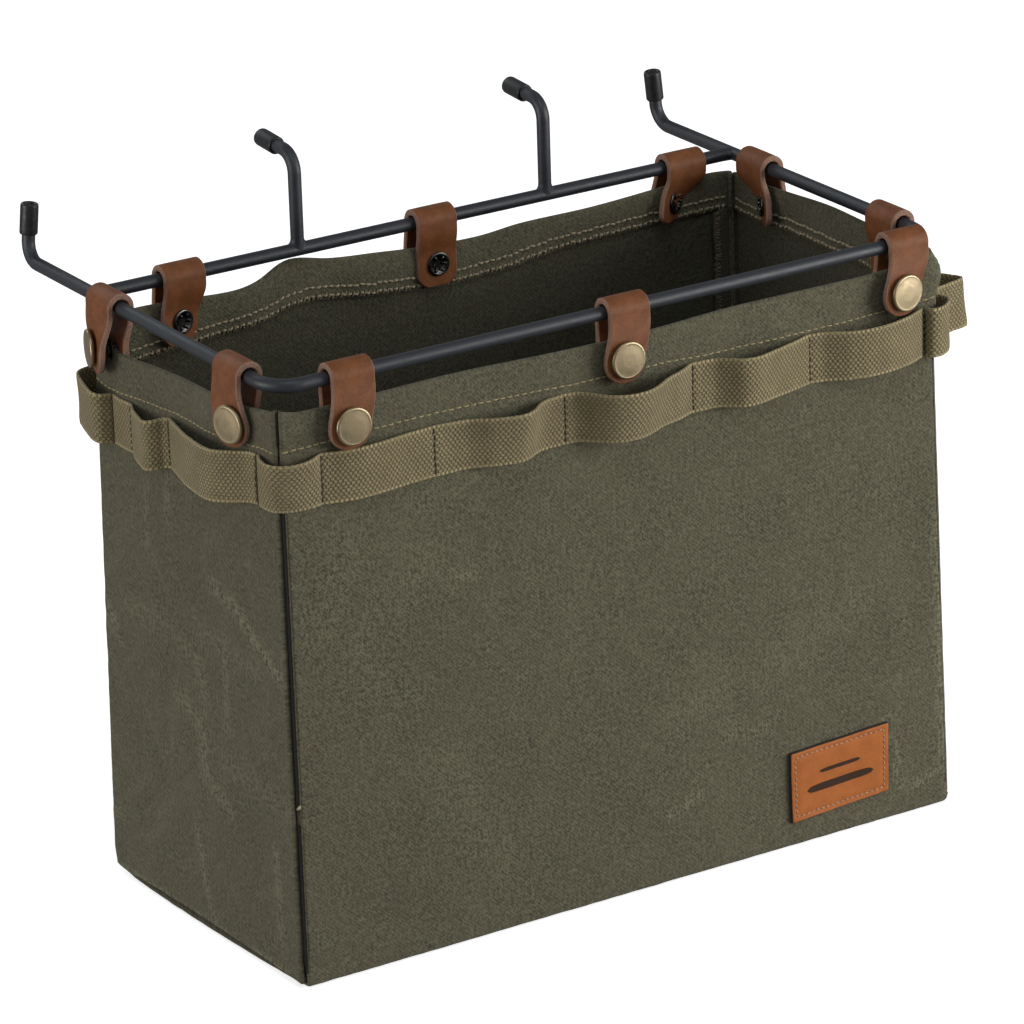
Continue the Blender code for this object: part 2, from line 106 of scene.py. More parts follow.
def make_camera():
    az, el, roll = (math.radians(a) for a in (CAMERA_AZIMUTH, CAMERA_ELEVATION, CAMERA_ROLL))
    back = Vector((math.sin(az) * math.cos(el), -math.cos(az) * math.cos(el), math.sin(el)))
    level = Vector((math.cos(az), math.sin(az), 0.0))
    above = back.cross(level)
    right = level * math.cos(roll) + above * math.sin(roll)
    top = above * math.cos(roll) - level * math.sin(roll)
    data = bpy.data.cameras.new("camera")
    data.angle = math.radians(CAMERA_FIELD)
    camera = bpy.data.objects.new("camera", data)
    bpy.context.scene.collection.objects.link(camera)
    place = CAMERA_AIM + back * CAMERA_DISTANCE + right * CAMERA_ASIDE + top * CAMERA_ABOVE
    camera.matrix_world = frame_matrix(place, right, top, back)
    bpy.context.scene.camera = camera


def area_light(name, place, size, power, color=(1.0, 1.0, 1.0)):
    data = bpy.data.lights.new(name, "AREA")
    data.shape = "DISK"
    data.size = size
    data.energy = power
    data.color = color
    light = bpy.data.objects.new(name, data)
    bpy.context.scene.collection.objects.link(light)
    light.location = place
    light.rotation_mode = "QUATERNION"
    light.rotation_quaternion = (Vector(place) - LIGHT_AIM).to_track_quat("Z", "Y")


def make_studio():
    scene = bpy.context.scene
    scene.view_settings.view_transform = "Standard"
    world = bpy.data.worlds.new("studio")
    world.use_nodes = True
    world.node_tree.nodes["Background"].inputs["Color"].default_value = (1.0, 1.0, 1.0, 1.0)
    world.node_tree.nodes["Background"].inputs["Strength"].default_value = 0.26
    scene.world = world
    area_light("right", (1.0, -0.95, 0.36), 1.0, 15.8)
    area_light("left", (-2.1, 0.25, 0.30), 1.4, 22.0)
    area_light("top", (-0.3, -0.9, 1.9), 0.8, 5.5, (0.80, 0.90, 1.0))
    area_light("behind", (-0.2, 2.1, 1.1), 1.3, 8.0, (0.85, 0.93, 1.0))
    data = bpy.data.meshes.new("floor")
    reach = 6.0
    data.from_pydata([(-reach, -reach, 0), (reach, -reach, 0), (reach, reach, 0),
                      (-reach, reach, 0)], [], [(0, 1, 2, 3)])
    floor = bpy.data.objects.new("floor", data)
    floor.location.z = -0.4 * MM
    look = Look("floor_paint", (0.90, 0.90, 0.90), 0.9)
    look.set("Emission Color", (1.0, 1.0, 1.0, 1.0))
    look.set("Emission Strength", 0.70)
    data.materials.append(look.material)
    scene.collection.objects.link(floor)
    floor.visible_diffuse = False
    floor.visible_glossy = False


# ---------------------------------------------------------------- materials
class Look:
    """A node material under construction."""

    def __init__(self, name, color, roughness, metallic=0.0):
        self.material = bpy.data.materials.new(name)
        self.material.use_nodes = True
        self.material.diffuse_color = (*color, 1.0)
        self.tree = self.material.node_tree
        self.shader = self.tree.nodes["Principled BSDF"]
        self.set("Base Color", (*color, 1.0))
        self.set("Roughness", roughness)
        self.set("Metallic", metallic)

    def feed(self, socket, value):
        if isinstance(value, bpy.types.NodeSocket):
            self.tree.links.new(value, socket)
        else:
            socket.default_value = value

    def set(self, socket, value):
        self.feed(self.shader.inputs[socket], value)

    def node(self, kind, inputs, output=0, **settings):
        made = self.tree.nodes.new("ShaderNode" + kind)
        for key, value in settings.items():
            setattr(made, key, value)
        for key, value in inputs.items():
            self.feed(made.inputs[key], value)
        return made.outputs[output]

    def place(self, kind="UV"):
        return self.node("TexCoord", {}, kind)

    def vector(self, operation, a, b):
        return self.node("VectorMath", {0: a, 1: b}, operation=operation)

    def loosened(self, place, scale, amount):
        """A place that wanders by about an amount, so threads don't run dead straight."""
        drift = self.node("TexNoise", {"Vector": place, "Scale": scale, "Detail": 1.0}, 1)
        drift = self.vector("SUBTRACT", drift, (0.5, 0.5, 0.5))
        return self.vector("ADD", self.vector("MULTIPLY", drift, (amount,) * 3), place)

    def noise(self, vector, size, detail=2.0, rough=0.5, stretch=(1.0, 1.0, 1.0)):
        """Noise with features of about the given size in metres, spread over 0 to 1."""
        vector = self.vector("MULTIPLY", vector, tuple(s / size for s in stretch))
        made = self.node("TexNoise", {"Vector": vector, "Scale": 1.0, "Detail": detail,
                                      "Roughness": rough})
        return self.span(made, 0.3, 0.7)

    def span(self, value, low, high, to_low=0.0, to_high=1.0):
        return self.node("MapRange", {0: value, 1: low, 2: high, 3: to_low, 4: to_high})

    def math(self, operation, a, b=0.0):
        return self.node("Math", {0: a, 1: b}, operation=operation)

    def times(self, a, b):
        return self.math("MULTIPLY", a, b)

    def plus(self, a, b):
        return self.math("ADD", a, b)

    def total(self, first, *others):
        """Sum of (value, weight) pairs."""
        weighted = self.times(*first)
        return self.plus(weighted, self.total(*others)) if others else weighted

    def mix(self, share, a, b):
        a, b = (c if isinstance(c, bpy.types.NodeSocket) else (*c, 1.0) for c in (a, b))
        return self.node("Mix", {0: share, 6: a, 7: b}, 2, data_type="RGBA")

    def tinge(self, tone, value, share, color):
        """A tone that turns to a color by a share of a value."""
        return self.mix(self.times(value, share), tone, color)

    def split(self, vector):
        made = self.tree.nodes.new("ShaderNodeSeparateXYZ")
        self.feed(made.inputs[0], vector)
        return made.outputs[0], made.outputs[1]

    def wave(self, value, pitch, phase=0.0):
        """Sine of a length in metres, from -1 to 1."""
        return self.math("SINE", self.plus(self.times(value, 2 * math.pi / pitch), phase))

    def bump(self, height, distance, strength, under=None):
        inputs = {"Height": height, "Distance": distance, "Strength": strength}
        if under is not None:
            inputs["Normal"] = under
        return self.node("Bump", inputs)

    def relief(self, height, distance, strength, under=None):
        self.set("Normal", self.bump(height, distance, strength, under))


def shade(color, factor):
    return tuple(c * factor for c in color)


def canvas_look(name, color, rub=1.0):
    """Washed heavy canvas: uneven plain weave, cloudy fading, soft light crease streaks."""
    look = Look(name, color, 0.92)
    place = look.place()
    loose = look.loosened(place, 260.0, 1.4 * MM)
    across, along = look.split(loose)
    weave = look.times(look.wave(across, 1.9 * MM), look.wave(along, 1.7 * MM))
    fibre = look.noise(loose, 0.55 * MM, 2.0, 0.6)
    tuft = look.noise(place, 1.55 * MM, 2.0, 0.55)
    slubs = look.plus(look.noise(place, 1.3 * MM, 1.0, 0.5, (1.0, 0.3, 1.0)),
                      look.noise(place, 1.3 * MM, 1.0, 0.5, (0.3, 1.0, 1.0)))
    grain = look.total((weave, 0.13), (tuft, 0.50), (fibre, 0.14), (slubs, 0.18))
    tone = look.mix(look.span(grain, 0.24, 0.76), shade(color, 0.44), shade(color, 1.60))
    tone = look.tinge(tone, look.noise(place, 30 * MM, 4.0, 0.6), 0.46, shade(color, 1.38))
    blots = look.noise(place, 9 * MM, 3.0, 0.6)
    tone = look.tinge(tone, blots, 0.22, shade(color, 0.72))
    brown = (color[0] * 1.06, color[1] * 0.96, color[2])
    tone = look.tinge(tone, look.noise(place, 6 * MM, 1.0), 0.5, brown)
    # Worn streaks: short, soft and crossing at two slants, only in some areas.
    streaks = None
    for turn, where_at in ((0.72, 3.0), (-0.95, 11.0), (1.45, 23.0)):
        turned = look.node("VectorRotate", {"Vector": place, "Angle": turn},
                           rotation_type="Z_AXIS")
        moved = look.vector("ADD", turned, (where_at, where_at, 0.0))
        thin = look.span(look.noise(moved, 9 * MM, 2.0, 0.5, (0.16, 1.0, 1.0)), 0.55, 1.15)
        area = look.span(look.noise(moved, 60 * MM, 1.0), 0.45, 0.9)
        one = look.times(thin, area)
        streaks = one if streaks is None else look.math("MAXIMUM", streaks, one)
    fibres = look.span(look.plus(tuft, slubs), 0.9, 2.1, 0.0, 1.35)
    worn = look.times(look.node("Attribute", {}, 2, attribute_name="worn"), fibres)
    crease = look.plus(look.times(streaks, 0.4 * rub), worn)
    look.set("Base Color", look.mix(crease, tone, shade(color, 2.1)))
    look.set("Sheen Weight", 0.1)
    look.set("Sheen Roughness", 0.5)
    look.set("Specular IOR Level", 0.15)
    low = look.bump(look.plus(crease, look.times(blots, 0.7)), 0.6 * MM, 0.6)
    look.relief(grain, 0.42 * MM, 0.9, low)
    return look.material


def webbing_look(name, color):
    """Coarse tape of staggered knots; UV across runs 0 to its width, so selvedges are known."""
    look = Look(name, color, 0.88)
    place = look.place()
    along, across = look.split(look.loosened(place, 330.0, 0.7 * MM))
    row = look.wave(across, 2.5 * MM)
    side = look.span(row, -0.15, 0.15)
    pick = look.times(look.wave(along, 1.95 * MM), side)
    opposite = look.times(look.wave(along, 1.95 * MM, math.pi), look.math("SUBTRACT", 1.0, side))
    stagger = look.span(look.plus(pick, opposite), -0.75, 0.55)
    ridge = look.math("POWER", look.math("ABSOLUTE", row), 0.5)
    knots = look.times(stagger, look.span(ridge, 0.15, 0.75))
    rough = look.noise(place, 0.6 * MM, 2.0, 0.6)
    tone = look.mix(knots, shade(color, 0.42), shade(color, 1.22))
    tone = look.tinge(tone, rough, 0.45, shade(color, 1.4))
    tone = look.tinge(tone, look.noise(place, 11 * MM, 3.0, 0.6), 0.5, shade(color, 0.55))
    _, flat_across = look.split(place)
    middle = look.math("ABSOLUTE", look.math("SUBTRACT", flat_across, WEB_WIDTH / 2))
    rim = look.span(middle, WEB_WIDTH / 2 - 1.6 * MM, WEB_WIDTH / 2 - 0.7 * MM)
    dots = look.span(look.wave(along, 1.8 * MM), -0.3, 0.6, 0.2, 0.85)
    look.set("Base Color", look.tinge(tone, rim, dots, shade(color, 1.55)))
    look.set("Specular IOR Level", 0.2)
    look.set("Sheen Weight", 0.1)
    look.relief(look.plus(knots, look.times(rough, 0.3)), 0.55 * MM, 0.9)
    return look.material


def leather_look(name, color, roughness=0.52, mottle=0.42):
    """Smooth dyed leather: fine pores, soft cloudy dye, darker where it is handled less."""
    look = Look(name, color, roughness)
    place = look.place()
    pores = look.node("TexVoronoi", {"Vector": place, "Scale": 1500.0}, 0)
    grain = look.noise(place, 0.9 * MM, 3.0, 0.6)
    cloud = look.span(look.noise(place, 6 * MM, 3.0, 0.65), 0.3, 0.7)
    tone = look.mix(look.times(cloud, mottle), shade(color, 1.12), shade(color, 0.5))
    look.set("Base Color", look.tinge(tone, grain, 0.22, shade(color, 1.25)))
    look.set("Roughness", look.span(grain, 0.0, 1.0, roughness - 0.07, roughness + 0.1))
    look.set("Specular IOR Level", 0.25)
    look.relief(look.plus(look.times(pores, 0.4), grain), 0.1 * MM, 0.6)
    return look.material


def raw_edge_look(name, color):
    """Cut edge of leather: lighter, fibrous, layered along the strap."""
    look = Look(name, color, 0.85)
    place = look.place("Object")
    fibre = look.noise(place, 0.7 * MM, 3.0, 0.7)
    look.set("Base Color", look.mix(fibre, shade(color, 0.62), shade(color, 1.15)))
    look.relief(fibre, 0.15 * MM, 0.6)
    return look.material


def coated_steel_look(name):
    """Satin black powder coat with its fine orange-peel texture."""
    look = Look(name, (0.0125, 0.0155, 0.021), 0.5)
    place = look.place("Object")
    peel = look.noise(place, 0.9 * MM, 2.0, 0.5)
    dust = look.noise(place, 7 * MM, 3.0, 0.6)
    look.set("Roughness", look.span(dust, 0.0, 1.0, 0.46, 0.58))
    look.set("Base Color", look.tinge((0.010, 0.0125, 0.0175), dust, 0.6,
                                      (0.020, 0.0245, 0.032)))
    look.set("Specular IOR Level", 0.7)
    look.relief(peel, 0.05 * MM, 0.6)
    return look.material


def rubber_look(name):
    look = Look(name, (0.0065, 0.0065, 0.007), 0.42)
    place = look.place("Object")
    scuff = look.noise(place, 2.2 * MM, 3.0, 0.7)
    look.set("Base Color", look.tinge((0.006, 0.006, 0.0065), scuff, 0.5,
                                      (0.016, 0.016, 0.016)))
    look.set("Roughness", look.span(scuff, 0.0, 1.0, 0.34, 0.55))
    look.relief(scuff, 0.05 * MM, 0.4)
    return look.material


def metal_look(name, color, roughness, tarnish, brushed):
    """Plated metal: hairline brushing, tarnish in clouds, a few specks."""
    look = Look(name, color, roughness, 1.0)
    place = look.place("Object")
    hair = look.noise(place, 0.35 * MM, 2.0, 0.6, (1.0, 1.0, 0.12))
    cloud = look.noise(place, 3.0 * MM, 4.0, 0.65)
    specks = look.span(look.noise(place, 0.5 * MM, 1.0), 0.78, 0.95)
    tone = look.tinge(color, cloud, tarnish, shade(color, 0.6))
    look.set("Base Color", look.tinge(tone, specks, 0.35, shade(color, 0.4)))
    look.set("Roughness", look.span(cloud, 0.0, 1.0, roughness - 0.05, roughness + 0.12))
    look.relief(hair, brushed, 0.5)
    return look.material


def thread_look(name, color):
    """Twisted sewing thread."""
    look = Look(name, color, 0.8)
    place = look.place("Object")
    twist = look.noise(place, 0.4 * MM, 1.0, 0.5)
    look.set("Base Color", look.mix(twist, shade(color, 0.6), shade(color, 1.2)))
    look.relief(twist, 0.1 * MM, 0.8)
    return look.material


CANVAS = (0.112, 0.1055, 0.066)
make_camera()
make_studio()
LOOKS = {
    "canvas": canvas_look("washed_canvas", CANVAS, 0.2),
    "canvas_creased": canvas_look("washed_canvas_creased", shade(CANVAS, 0.92), 0.6),
    # inner faces: the canvas darkened, partly its own darker back and partly painted shade of the
    # bag's interior
    "canvas_inside": canvas_look("canvas_inside", shade(CANVAS, 0.62), 0.1),
    "allowance": canvas_look("canvas_seam_allowance", (0.082, 0.072, 0.050), 0.2),
    "webbing": webbing_look("khaki_webbing", (0.31, 0.25, 0.133)),
    "leather": leather_look("brown_leather", (0.195, 0.068, 0.023)),
    "leather_edge": raw_edge_look("raw_leather_edge", (0.33, 0.185, 0.125)),
    "patch": leather_look("tan_leather", (0.43, 0.130, 0.030), 0.6, 0.2),
    "patch_edge": raw_edge_look("raw_tan_edge", (0.035, 0.018, 0.011)),
    "print": leather_look("dark_print", (0.045, 0.022, 0.012), 0.75, 0.1),
    # near-black painted shade for the gap of the front-left seam
    "tape": raw_edge_look("seam_tape", (0.0035, 0.0032, 0.0026)),
    "steel": coated_steel_look("black_powder_coat"),
    "rubber": rubber_look("black_rubber"),
    "brass": metal_look("antique_brass", (0.40, 0.318, 0.195), 0.36, 0.45, 0.02 * MM),
    "gunmetal": metal_look("gunmetal", (0.10, 0.097, 0.092), 0.26, 0.5, 0.02 * MM),
    "khaki_thread": thread_look("khaki_thread", (0.40, 0.33, 0.17)),
    "cream_thread": thread_look("cream_thread", (0.42, 0.35, 0.225)),
    "dull_thread": thread_look("dull_thread", (0.33, 0.27, 0.17)),
    "light_thread": thread_look("light_thread", (0.50, 0.34, 0.23)),
    # thread in the webbing's colour, darkened: painted shade of the webbing's seam grooves
    "dark_thread": thread_look("dark_thread", (0.072, 0.055, 0.032)),
}


# ---------------------------------------------------------------- mesh helpers
def ease(t):
    t = min(max(t, 0.0), 1.0)
    return t * t * (3 - 2 * t)


def add_piece(name, bm, looks, replaced=(), body=BODY, sharp=40.0):
    """Link a mesh as a piece of the object that rides on a body; looks are its materials."""
    bmesh.ops.recalc_face_normals(bm, faces=bm.faces)
    mesh = bpy.data.meshes.new(name)
    bm.to_mesh(mesh)
    bm.free()
    mesh.shade_smooth()
    mesh.set_sharp_from_angle(angle=math.radians(sharp))
    obj = bpy.data.objects.new(name, mesh)
    bpy.context.scene.collection.objects.link(obj)
    for look in looks:
        mesh.materials.append(LOOKS[look])
    if body:
        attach(obj, body)
    if replaced:
        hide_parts(*replaced)
    return obj


def start_bmesh():
    bm = bmesh.new()
    return bm, bm.loops.layers.uv.new("UVMap")


def add_face(bm, layer, corners, material=0):
    """Face through corners, each a vert and its flat place in metres."""
    face = bm.faces.new([vert for vert, _ in corners])
    face.material_index = material
    for loop, (_, spot) in zip(face.loops, corners):
        loop[layer].uv = spot


def grid_bmesh(rows, uvs):
    """Open sheet through rows of points; uvs are its flat places in metres."""
    bm, layer = start_bmesh()
    grid = [[(bm.verts.new(p), uv) for p, uv in zip(*both)] for both in zip(rows, uvs)]
    for a, b in zip(grid, grid[1:]):
        for k in range(len(a) - 1):
            add_face(bm, layer, (a[k], a[k + 1], b[k + 1], b[k]))
    return bm


def band_bmesh(rings, edge_bands=0, slant=0.0):
    """Closed tube of rings of (point, flat place), whose first bands are a cut edge."""
    bm, layer = start_bmesh()
    rings = [[(bm.verts.new(point), spot) for point, spot in ring] for ring in rings]
    for number, (a, b) in enumerate(zip(rings, rings[1:])):
        for k in range(len(a)):
            n = (k + 1) % len(a)
            add_face(bm, layer, (a[k], a[n], b[n], b[k]), 1 if number < edge_bands else 0)
    for ring in (rings[0], rings[-1]):
        add_face(bm, layer, [(vert, (spot[0] + (vert.co.x + vert.co.y) * slant, spot[1]))
                             for vert, spot in ring])
    return bm


def tube_bmesh(rings, start_uv=0.0):
    """Closed tube through rings of points, with UVs in metres along and around."""
    bm, layer = start_bmesh()
    verts = [[bm.verts.new(p) for p in ring] for ring in rings]
    count = len(rings[0])
    along = [start_uv]
    for a, b in zip(rings, rings[1:]):
        along.append(along[-1] + (sum(b, Vector()) - sum(a, Vector())).length / count)
    around = [0.0]
    widest = max(rings, key=lambda r: (r[0] - r[count // 2]).length)
    for k in range(count):
        around.append(around[-1] + (widest[(k + 1) % count] - widest[k]).length)
    for a, b, low, high in zip(verts, verts[1:], along, along[1:]):
        for k in range(count):
            n = (k + 1) % count
            add_face(bm, layer, ((a[k], (around[k], low)), (a[n], (around[k + 1], low)),
                                 (b[n], (around[k + 1], high)), (b[k], (around[k], high))))
    for ring in (verts[0], verts[-1]):
        add_face(bm, layer, [(vert, (vert.co.x, vert.co.z)) for vert in ring])
    return bm


def rounded(profile, radius):
    """A turned profile with each inner corner replaced by a small curve."""
    points, steps = [Vector(p) for p in profile], 3
    curve = [points[0]]
    for before, corner, after in zip(points, points[1:], points[2:]):
        back, ahead = before - corner, after - corner
        cut = min(radius, back.length * 0.45, ahead.length * 0.45)
        first, last = corner + back.normalized() * cut, corner + ahead.normalized() * cut
        for k in range(steps + 1):
            t = k / steps
            curve.append(first * (1 - t) ** 2 + corner * 2 * t * (1 - t) + last * t ** 2)
    return curve + [points[-1]]


def lathe_bmesh(profile, corner_radius, steps, place):
    """Turned piece; profile is (radius, height) in millimetres, its corners rounded."""
    turns = [2 * math.pi * k / steps for k in range(steps)]
    rings = []
    profile = rounded([(r * MM, h * MM) for r, h in profile], corner_radius * MM)
    for radius, height in profile:
        radius = max(radius, 0.02 * MM)
        rings.append([place @ Vector((radius * math.cos(turn), radius * math.sin(turn), height))
                      for turn in turns])
    return tube_bmesh(rings)


def join(bms):
    """One bmesh out of several, keeping UVs and material numbers."""
    joined = bmesh.new()
    for bm in bms:
        mesh = bpy.data.meshes.new("part")
        bm.to_mesh(mesh)
        bm.free()
        joined.from_mesh(mesh)
        bpy.data.meshes.remove(mesh)
    return joined


def lengths_along(points, zero=0):
    """Length along a path at each of its points, from the point of the given index."""
    lengths = [0.0]
    for a, b in zip(points, points[1:]):
        lengths.append(lengths[-1] + (b - a).length)
    return [length - lengths[zero] for length in lengths]


def spline_through(points, steps):
    """Catmull-Rom curve through vectors."""
    ends = [2 * points[0] - points[1]] + points + [2 * points[-1] - points[-2]]
    curve = [points[0].copy()]
    for a, b, c, d in zip(ends, ends[1:], ends[2:], ends[3:]):
        for k in range(1, steps + 1):
            t = k / steps
            curve.append(0.5 * (2 * b + (c - a) * t + (2 * a - 5 * b + 4 * c - d) * t ** 2
                                + (3 * b - a - 3 * c + d) * t ** 3))
    return curve


# ---------------------------------------------------------------- rod frame
ROD_SIDES = 28


def bent_path(corners, radii):
    """Points of a bent rod: straight runs between corners, each rounded by its radius."""
    points, steps = [Vector(corners[0])], 12
    for before, corner, after, radius in zip(corners, corners[1:], corners[2:], radii):
        corner = Vector(corner)
        back = (Vector(before) - corner).normalized()
        ahead = (Vector(after) - corner).normalized()
        half = back.angle(ahead) / 2
        centre = corner + (back + ahead).normalized() * (radius / math.sin(half))
        start = corner + back * (radius / math.tan(half)) - centre
        axis = start.cross(corner + ahead * (radius / math.tan(half)) - centre).normalized()
        for k in range(steps + 1):
            turn = (math.pi - 2 * half) * k / steps
            points.append(centre + Matrix.Rotation(turn, 3, axis) @ start)
    points.append(Vector(corners[-1]))
    return points


def rod_rings(points):
    """Rings along a path, carried from one to the next without twist, with eased ends."""
    turns = [2 * math.pi * j / ROD_SIDES for j in range(ROD_SIDES)]
    ahead = (points[1] - points[0]).normalized()
    side = ahead.orthogonal().normalized()
    rings = []
    last = len(points) - 1
    for k, point in enumerate(points):
        along = (points[min(k + 1, last)] - points[max(k - 1, 0)]).normalized()
        side = (side - along * side.dot(along)).normalized()
        other = along.cross(side)
        rings.append([point + (side * math.cos(a) + other * math.sin(a)) * ROD_R for a in turns])
    for end, inner in ((0, 1), (last, last - 1)):
        away = (points[end] - points[inner]).normalized() * (0.35 * MM)
        ring = [points[end] + (p - points[end]) * 0.86 for p in rings[end]]
        rings[end] = [p - away for p in rings[end]]
        rings.insert(0 if end == 0 else len(rings), ring)
    return rings


def rod_piece(name, points, replaced):
    add_piece(name, tube_bmesh(rod_rings(points)), ["steel"], [replaced])


def weld_piece(name, place, axis, flange_axis):
    """Small fillet where one rod's end is welded on another: it flares over the other rod."""
    axis, flange_axis = Vector(axis).normalized(), Vector(flange_axis).normalized()
    across = axis.cross(flange_axis)
    steps, rings = 32, []
    for t in (0.0, 0.25, 0.5, 0.75, 1.0):
        ring = []
        for k in range(steps):
            angle = 2 * math.pi * k / steps
            lump = 0.22 * noise.noise(Vector((math.cos(angle), math.sin(angle), t)) * 2.3
                                      + place * 90)
            spread = ROD_R * (1.01 + (1.0 - t) ** 2 * (0.42 + lump))
            a, b = math.cos(angle) * spread, math.sin(angle) * min(spread, ROD_R * 1.02)
            low = math.sqrt(max((ROD_R * 1.03) ** 2 - b * b, 0.0))
            height = low * (1 - t) + (ROD_R + 1.9 * MM) * t - 0.1 * MM * (1 - t)
            ring.append(place + flange_axis * a + across * b + axis * height)
        rings.append(ring)
    add_piece(name, tube_bmesh(rings), ["steel"], sharp=60.0)


def end_cap(name, node, direction):
    """Push-on sleeve with a rounded rim and a recessed end, where the CAD has it."""
    low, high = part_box(node)
    direction = Vector(direction).normalized()
    end, bore = 12.5, ROD_R / MM + 0.1
    place = (Matrix.Translation((low + high) / 2 - direction * (end / 2 * MM))
             @ direction.to_track_quat("Z", "Y").to_matrix().to_4x4())
    profile = [(0, end - 1.5), (1.7, end - 1.4), (2.2, end - 0.2), (2.85, end),
               (3.45, end - 0.35), (3.6, end - 1.1), (3.6, 0.5), (3.3, 0), (bore, 0), (bore, 3),
               (0, 3)]
    add_piece(name, lathe_bmesh(profile, 0.4, 36, place), ["rubber"], [node],
              sharp=50.0)


def build_frame():
    tip_y, front_y = ROD_HIGH.y - ROD_R, ROD_LOW.y + ROD_R
    lean, rise, bend, front_bend = 2.0 * MM, 19.5 * MM, 8.0 * MM, 12.0 * MM
    corners = [(-ROD_X + lean, tip_y, ROD_Z + rise), (-ROD_X, tip_y, ROD_Z),
               (-ROD_X, front_y, ROD_Z), (ROD_X, front_y, ROD_Z), (ROD_X, tip_y, ROD_Z),
               (ROD_X - lean, tip_y, ROD_Z + rise)]
    rod_piece("bent_frame_rod", bent_path(corners, [bend, front_bend, front_bend, bend]),
              "frame_rod")
    sides = (("left", -1), ("right", 1))
    for side, sign in sides:
        end_cap("side_tip_sleeve_" + side, "tip_cap_side_" + side, (-sign * lean, 0, rise))
    ends = [Vector((x, BAR_Y, ROD_Z)) for x in (BAR_LOW.x, BAR_HIGH.x)]
    rod_piece("crossbar_rod", ends, "back_crossbar")
    for side, sign in sides:
        weld_piece("crossbar_weld_" + side, Vector((sign * ROD_X, BAR_Y, ROD_Z)),
                   (-sign, 0, 0), (0, 1, 0))
    for side, _ in sides:
        low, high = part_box("top_hook_" + side)
        x = (low.x + high.x) / 2
        cap_low, cap_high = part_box("tip_cap_top_" + side)
        bend_z = (cap_low.z + cap_high.z) / 2 - 1.0 * MM
        tip = Vector((x, high.y, bend_z + 1.5 * MM))
        path = bent_path([(x, BAR_Y, ROD_Z + ROD_R + 0.3 * MM), (x, BAR_Y, bend_z), tip],
                         [bend])
        rod_piece("hook_rod_" + side, path, "top_hook_" + side)
        end_cap("top_tip_sleeve_" + side, "tip_cap_top_" + side, tip - Vector((x, BAR_Y, bend_z)))
        weld_piece("hook_weld_" + side, Vector((x, BAR_Y, ROD_Z)), (0, 0, 1), (1, 0, 0))


# ---------------------------------------------------------------- the bag's outline
PERIMETER = 4 * (HALF_W + HALF_D)
# Distance round the outline of each corner, named by its sides in x and y.
CORNER_AT = {(-1, -1): 0.0, (1, -1): 2 * HALF_W, (1, 1): 2 * HALF_W + 2 * HALF_D,
             (-1, 1): 4 * HALF_W + 2 * HALF_D}
# Each side's first corner, its way along, and its length.
SIDES = {"front": ((-1, -1), (1, 0), 2 * HALF_W), "right": ((1, -1), (0, 1), 2 * HALF_D),
         "back": ((1, 1), (-1, 0), 2 * HALF_W), "left": ((-1, 1), (0, -1), 2 * HALF_D)}


def distance_of(side, place):
    """Distance round the outline, from the front-left corner, of a place along a side."""
    place *= MM
    return {"front": place + HALF_W,
            "right": 2 * HALF_W + place + HALF_D,
            "back": 2 * HALF_W + 2 * HALF_D + HALF_W - place,
            "left": 4 * HALF_W + 2 * HALF_D + HALF_D - place}[side]


def curve_of(**sides):
    """Smooth closed curve through each side's (place, value) in millimetres, as a function."""
    knots = sorted((distance_of(side, place), value * MM)
                   for side, entries in sides.items() for place, value in entries)
    first, last = knots[0], knots[-1]
    knots = ([(knots[-2][0] - PERIMETER, knots[-2][1]), (last[0] - PERIMETER, last[1])] + knots
             + [(first[0] + PERIMETER, first[1]), (knots[1][0] + PERIMETER, knots[1][1])])

    def slope(k):
        (x0, y0), (x1, y1) = knots[max(k - 1, 0)], knots[min(k + 1, len(knots) - 1)]
        return (y1 - y0) / (x1 - x0)

    def read(distance):
        distance %= PERIMETER
        k = next(i for i in range(len(knots) - 1)
                 if knots[i][0] <= distance <= knots[i + 1][0] + 1e-9)
        (x0, y0), (x1, y1) = knots[k], knots[k + 1]
        span = x1 - x0
        t = (distance - x0) / span
        return ((2 * t ** 3 - 3 * t ** 2 + 1) * y0 + (t ** 3 - 2 * t ** 2 + t) * span * slope(k)
                + (3 * t ** 2 - 2 * t ** 3) * y1 + (t ** 3 - t ** 2) * span * slope(k + 1))
    return read


# Height of the top edge, and of the hem's stitch line, round the bag.
TOP_EDGE = curve_of(
    front=[(-147, 228.6), (-138, 226.8), (-105, 227), (-72, 227.2), (-25, 226.1), (16, 226.2),
           (52, 227.4), (88, 227.3), (122, 227.6), (142, 230)],
    right=[(-60, 231.6), (-24, 231), (2, 231.2), (38, 229.4), (62, 229)],
    back=[(136, 230), (108, 228.8), (78, 227.6), (47, 226.6), (30, 225.2), (17, 225.4), (-5, 227),
          (-25, 229.2), (-43, 230.3), (-60, 232.6), (-75, 227.6), (-88, 226.2), (-117, 227.4),
          (-135, 227.2)],
    left=[(64, 222), (45, 219.2), (24, 220.4), (2, 221.8), (-20, 222.7), (-45, 225), (-62, 227.6)])
STITCH_LINE = curve_of(
    front=[(-140, 213), (-72, 214), (-35, 212.8), (19, 212.2), (43, 211.2), (88, 211),
           (128, 211.6)],
    right=[(-55, 214), (0, 217), (50, 216.5)],
    back=[(136, 217.6), (103, 217.2), (62, 216), (37, 212.9), (17, 212), (-4, 213), (-27, 215.4),
          (-55, 218), (-75, 214.1), (-102, 211.9), (-132, 209.5)],
    left=[(62, 203.4), (50, 203.4), (30, 204.9), (4, 206.9), (-20, 207.6), (-44, 210.4),
          (-62, 212.4)])
# How far the hem leans out (+) or in (-) between the straps.
HEM_LEAN = curve_of(
    front=[(-148, 0), (148, 0), (-118, 0), (-60, -0.7), (1, 0), (65, -0.5), (128, 0)],
    back=[(148, 0), (-148, 0), (136, 0.8), (119, 0), (80, -1.2), (40, 1.6), (3, 0), (-28, -1.8),
          (-60, 2.2), (-84, -1.2), (-110, 0)],
    right=[(-60, 1.2), (-41, 0), (4, 0.8), (48, 0)],
    left=[(52, 0), (8, -1.2), (-41, 0)])
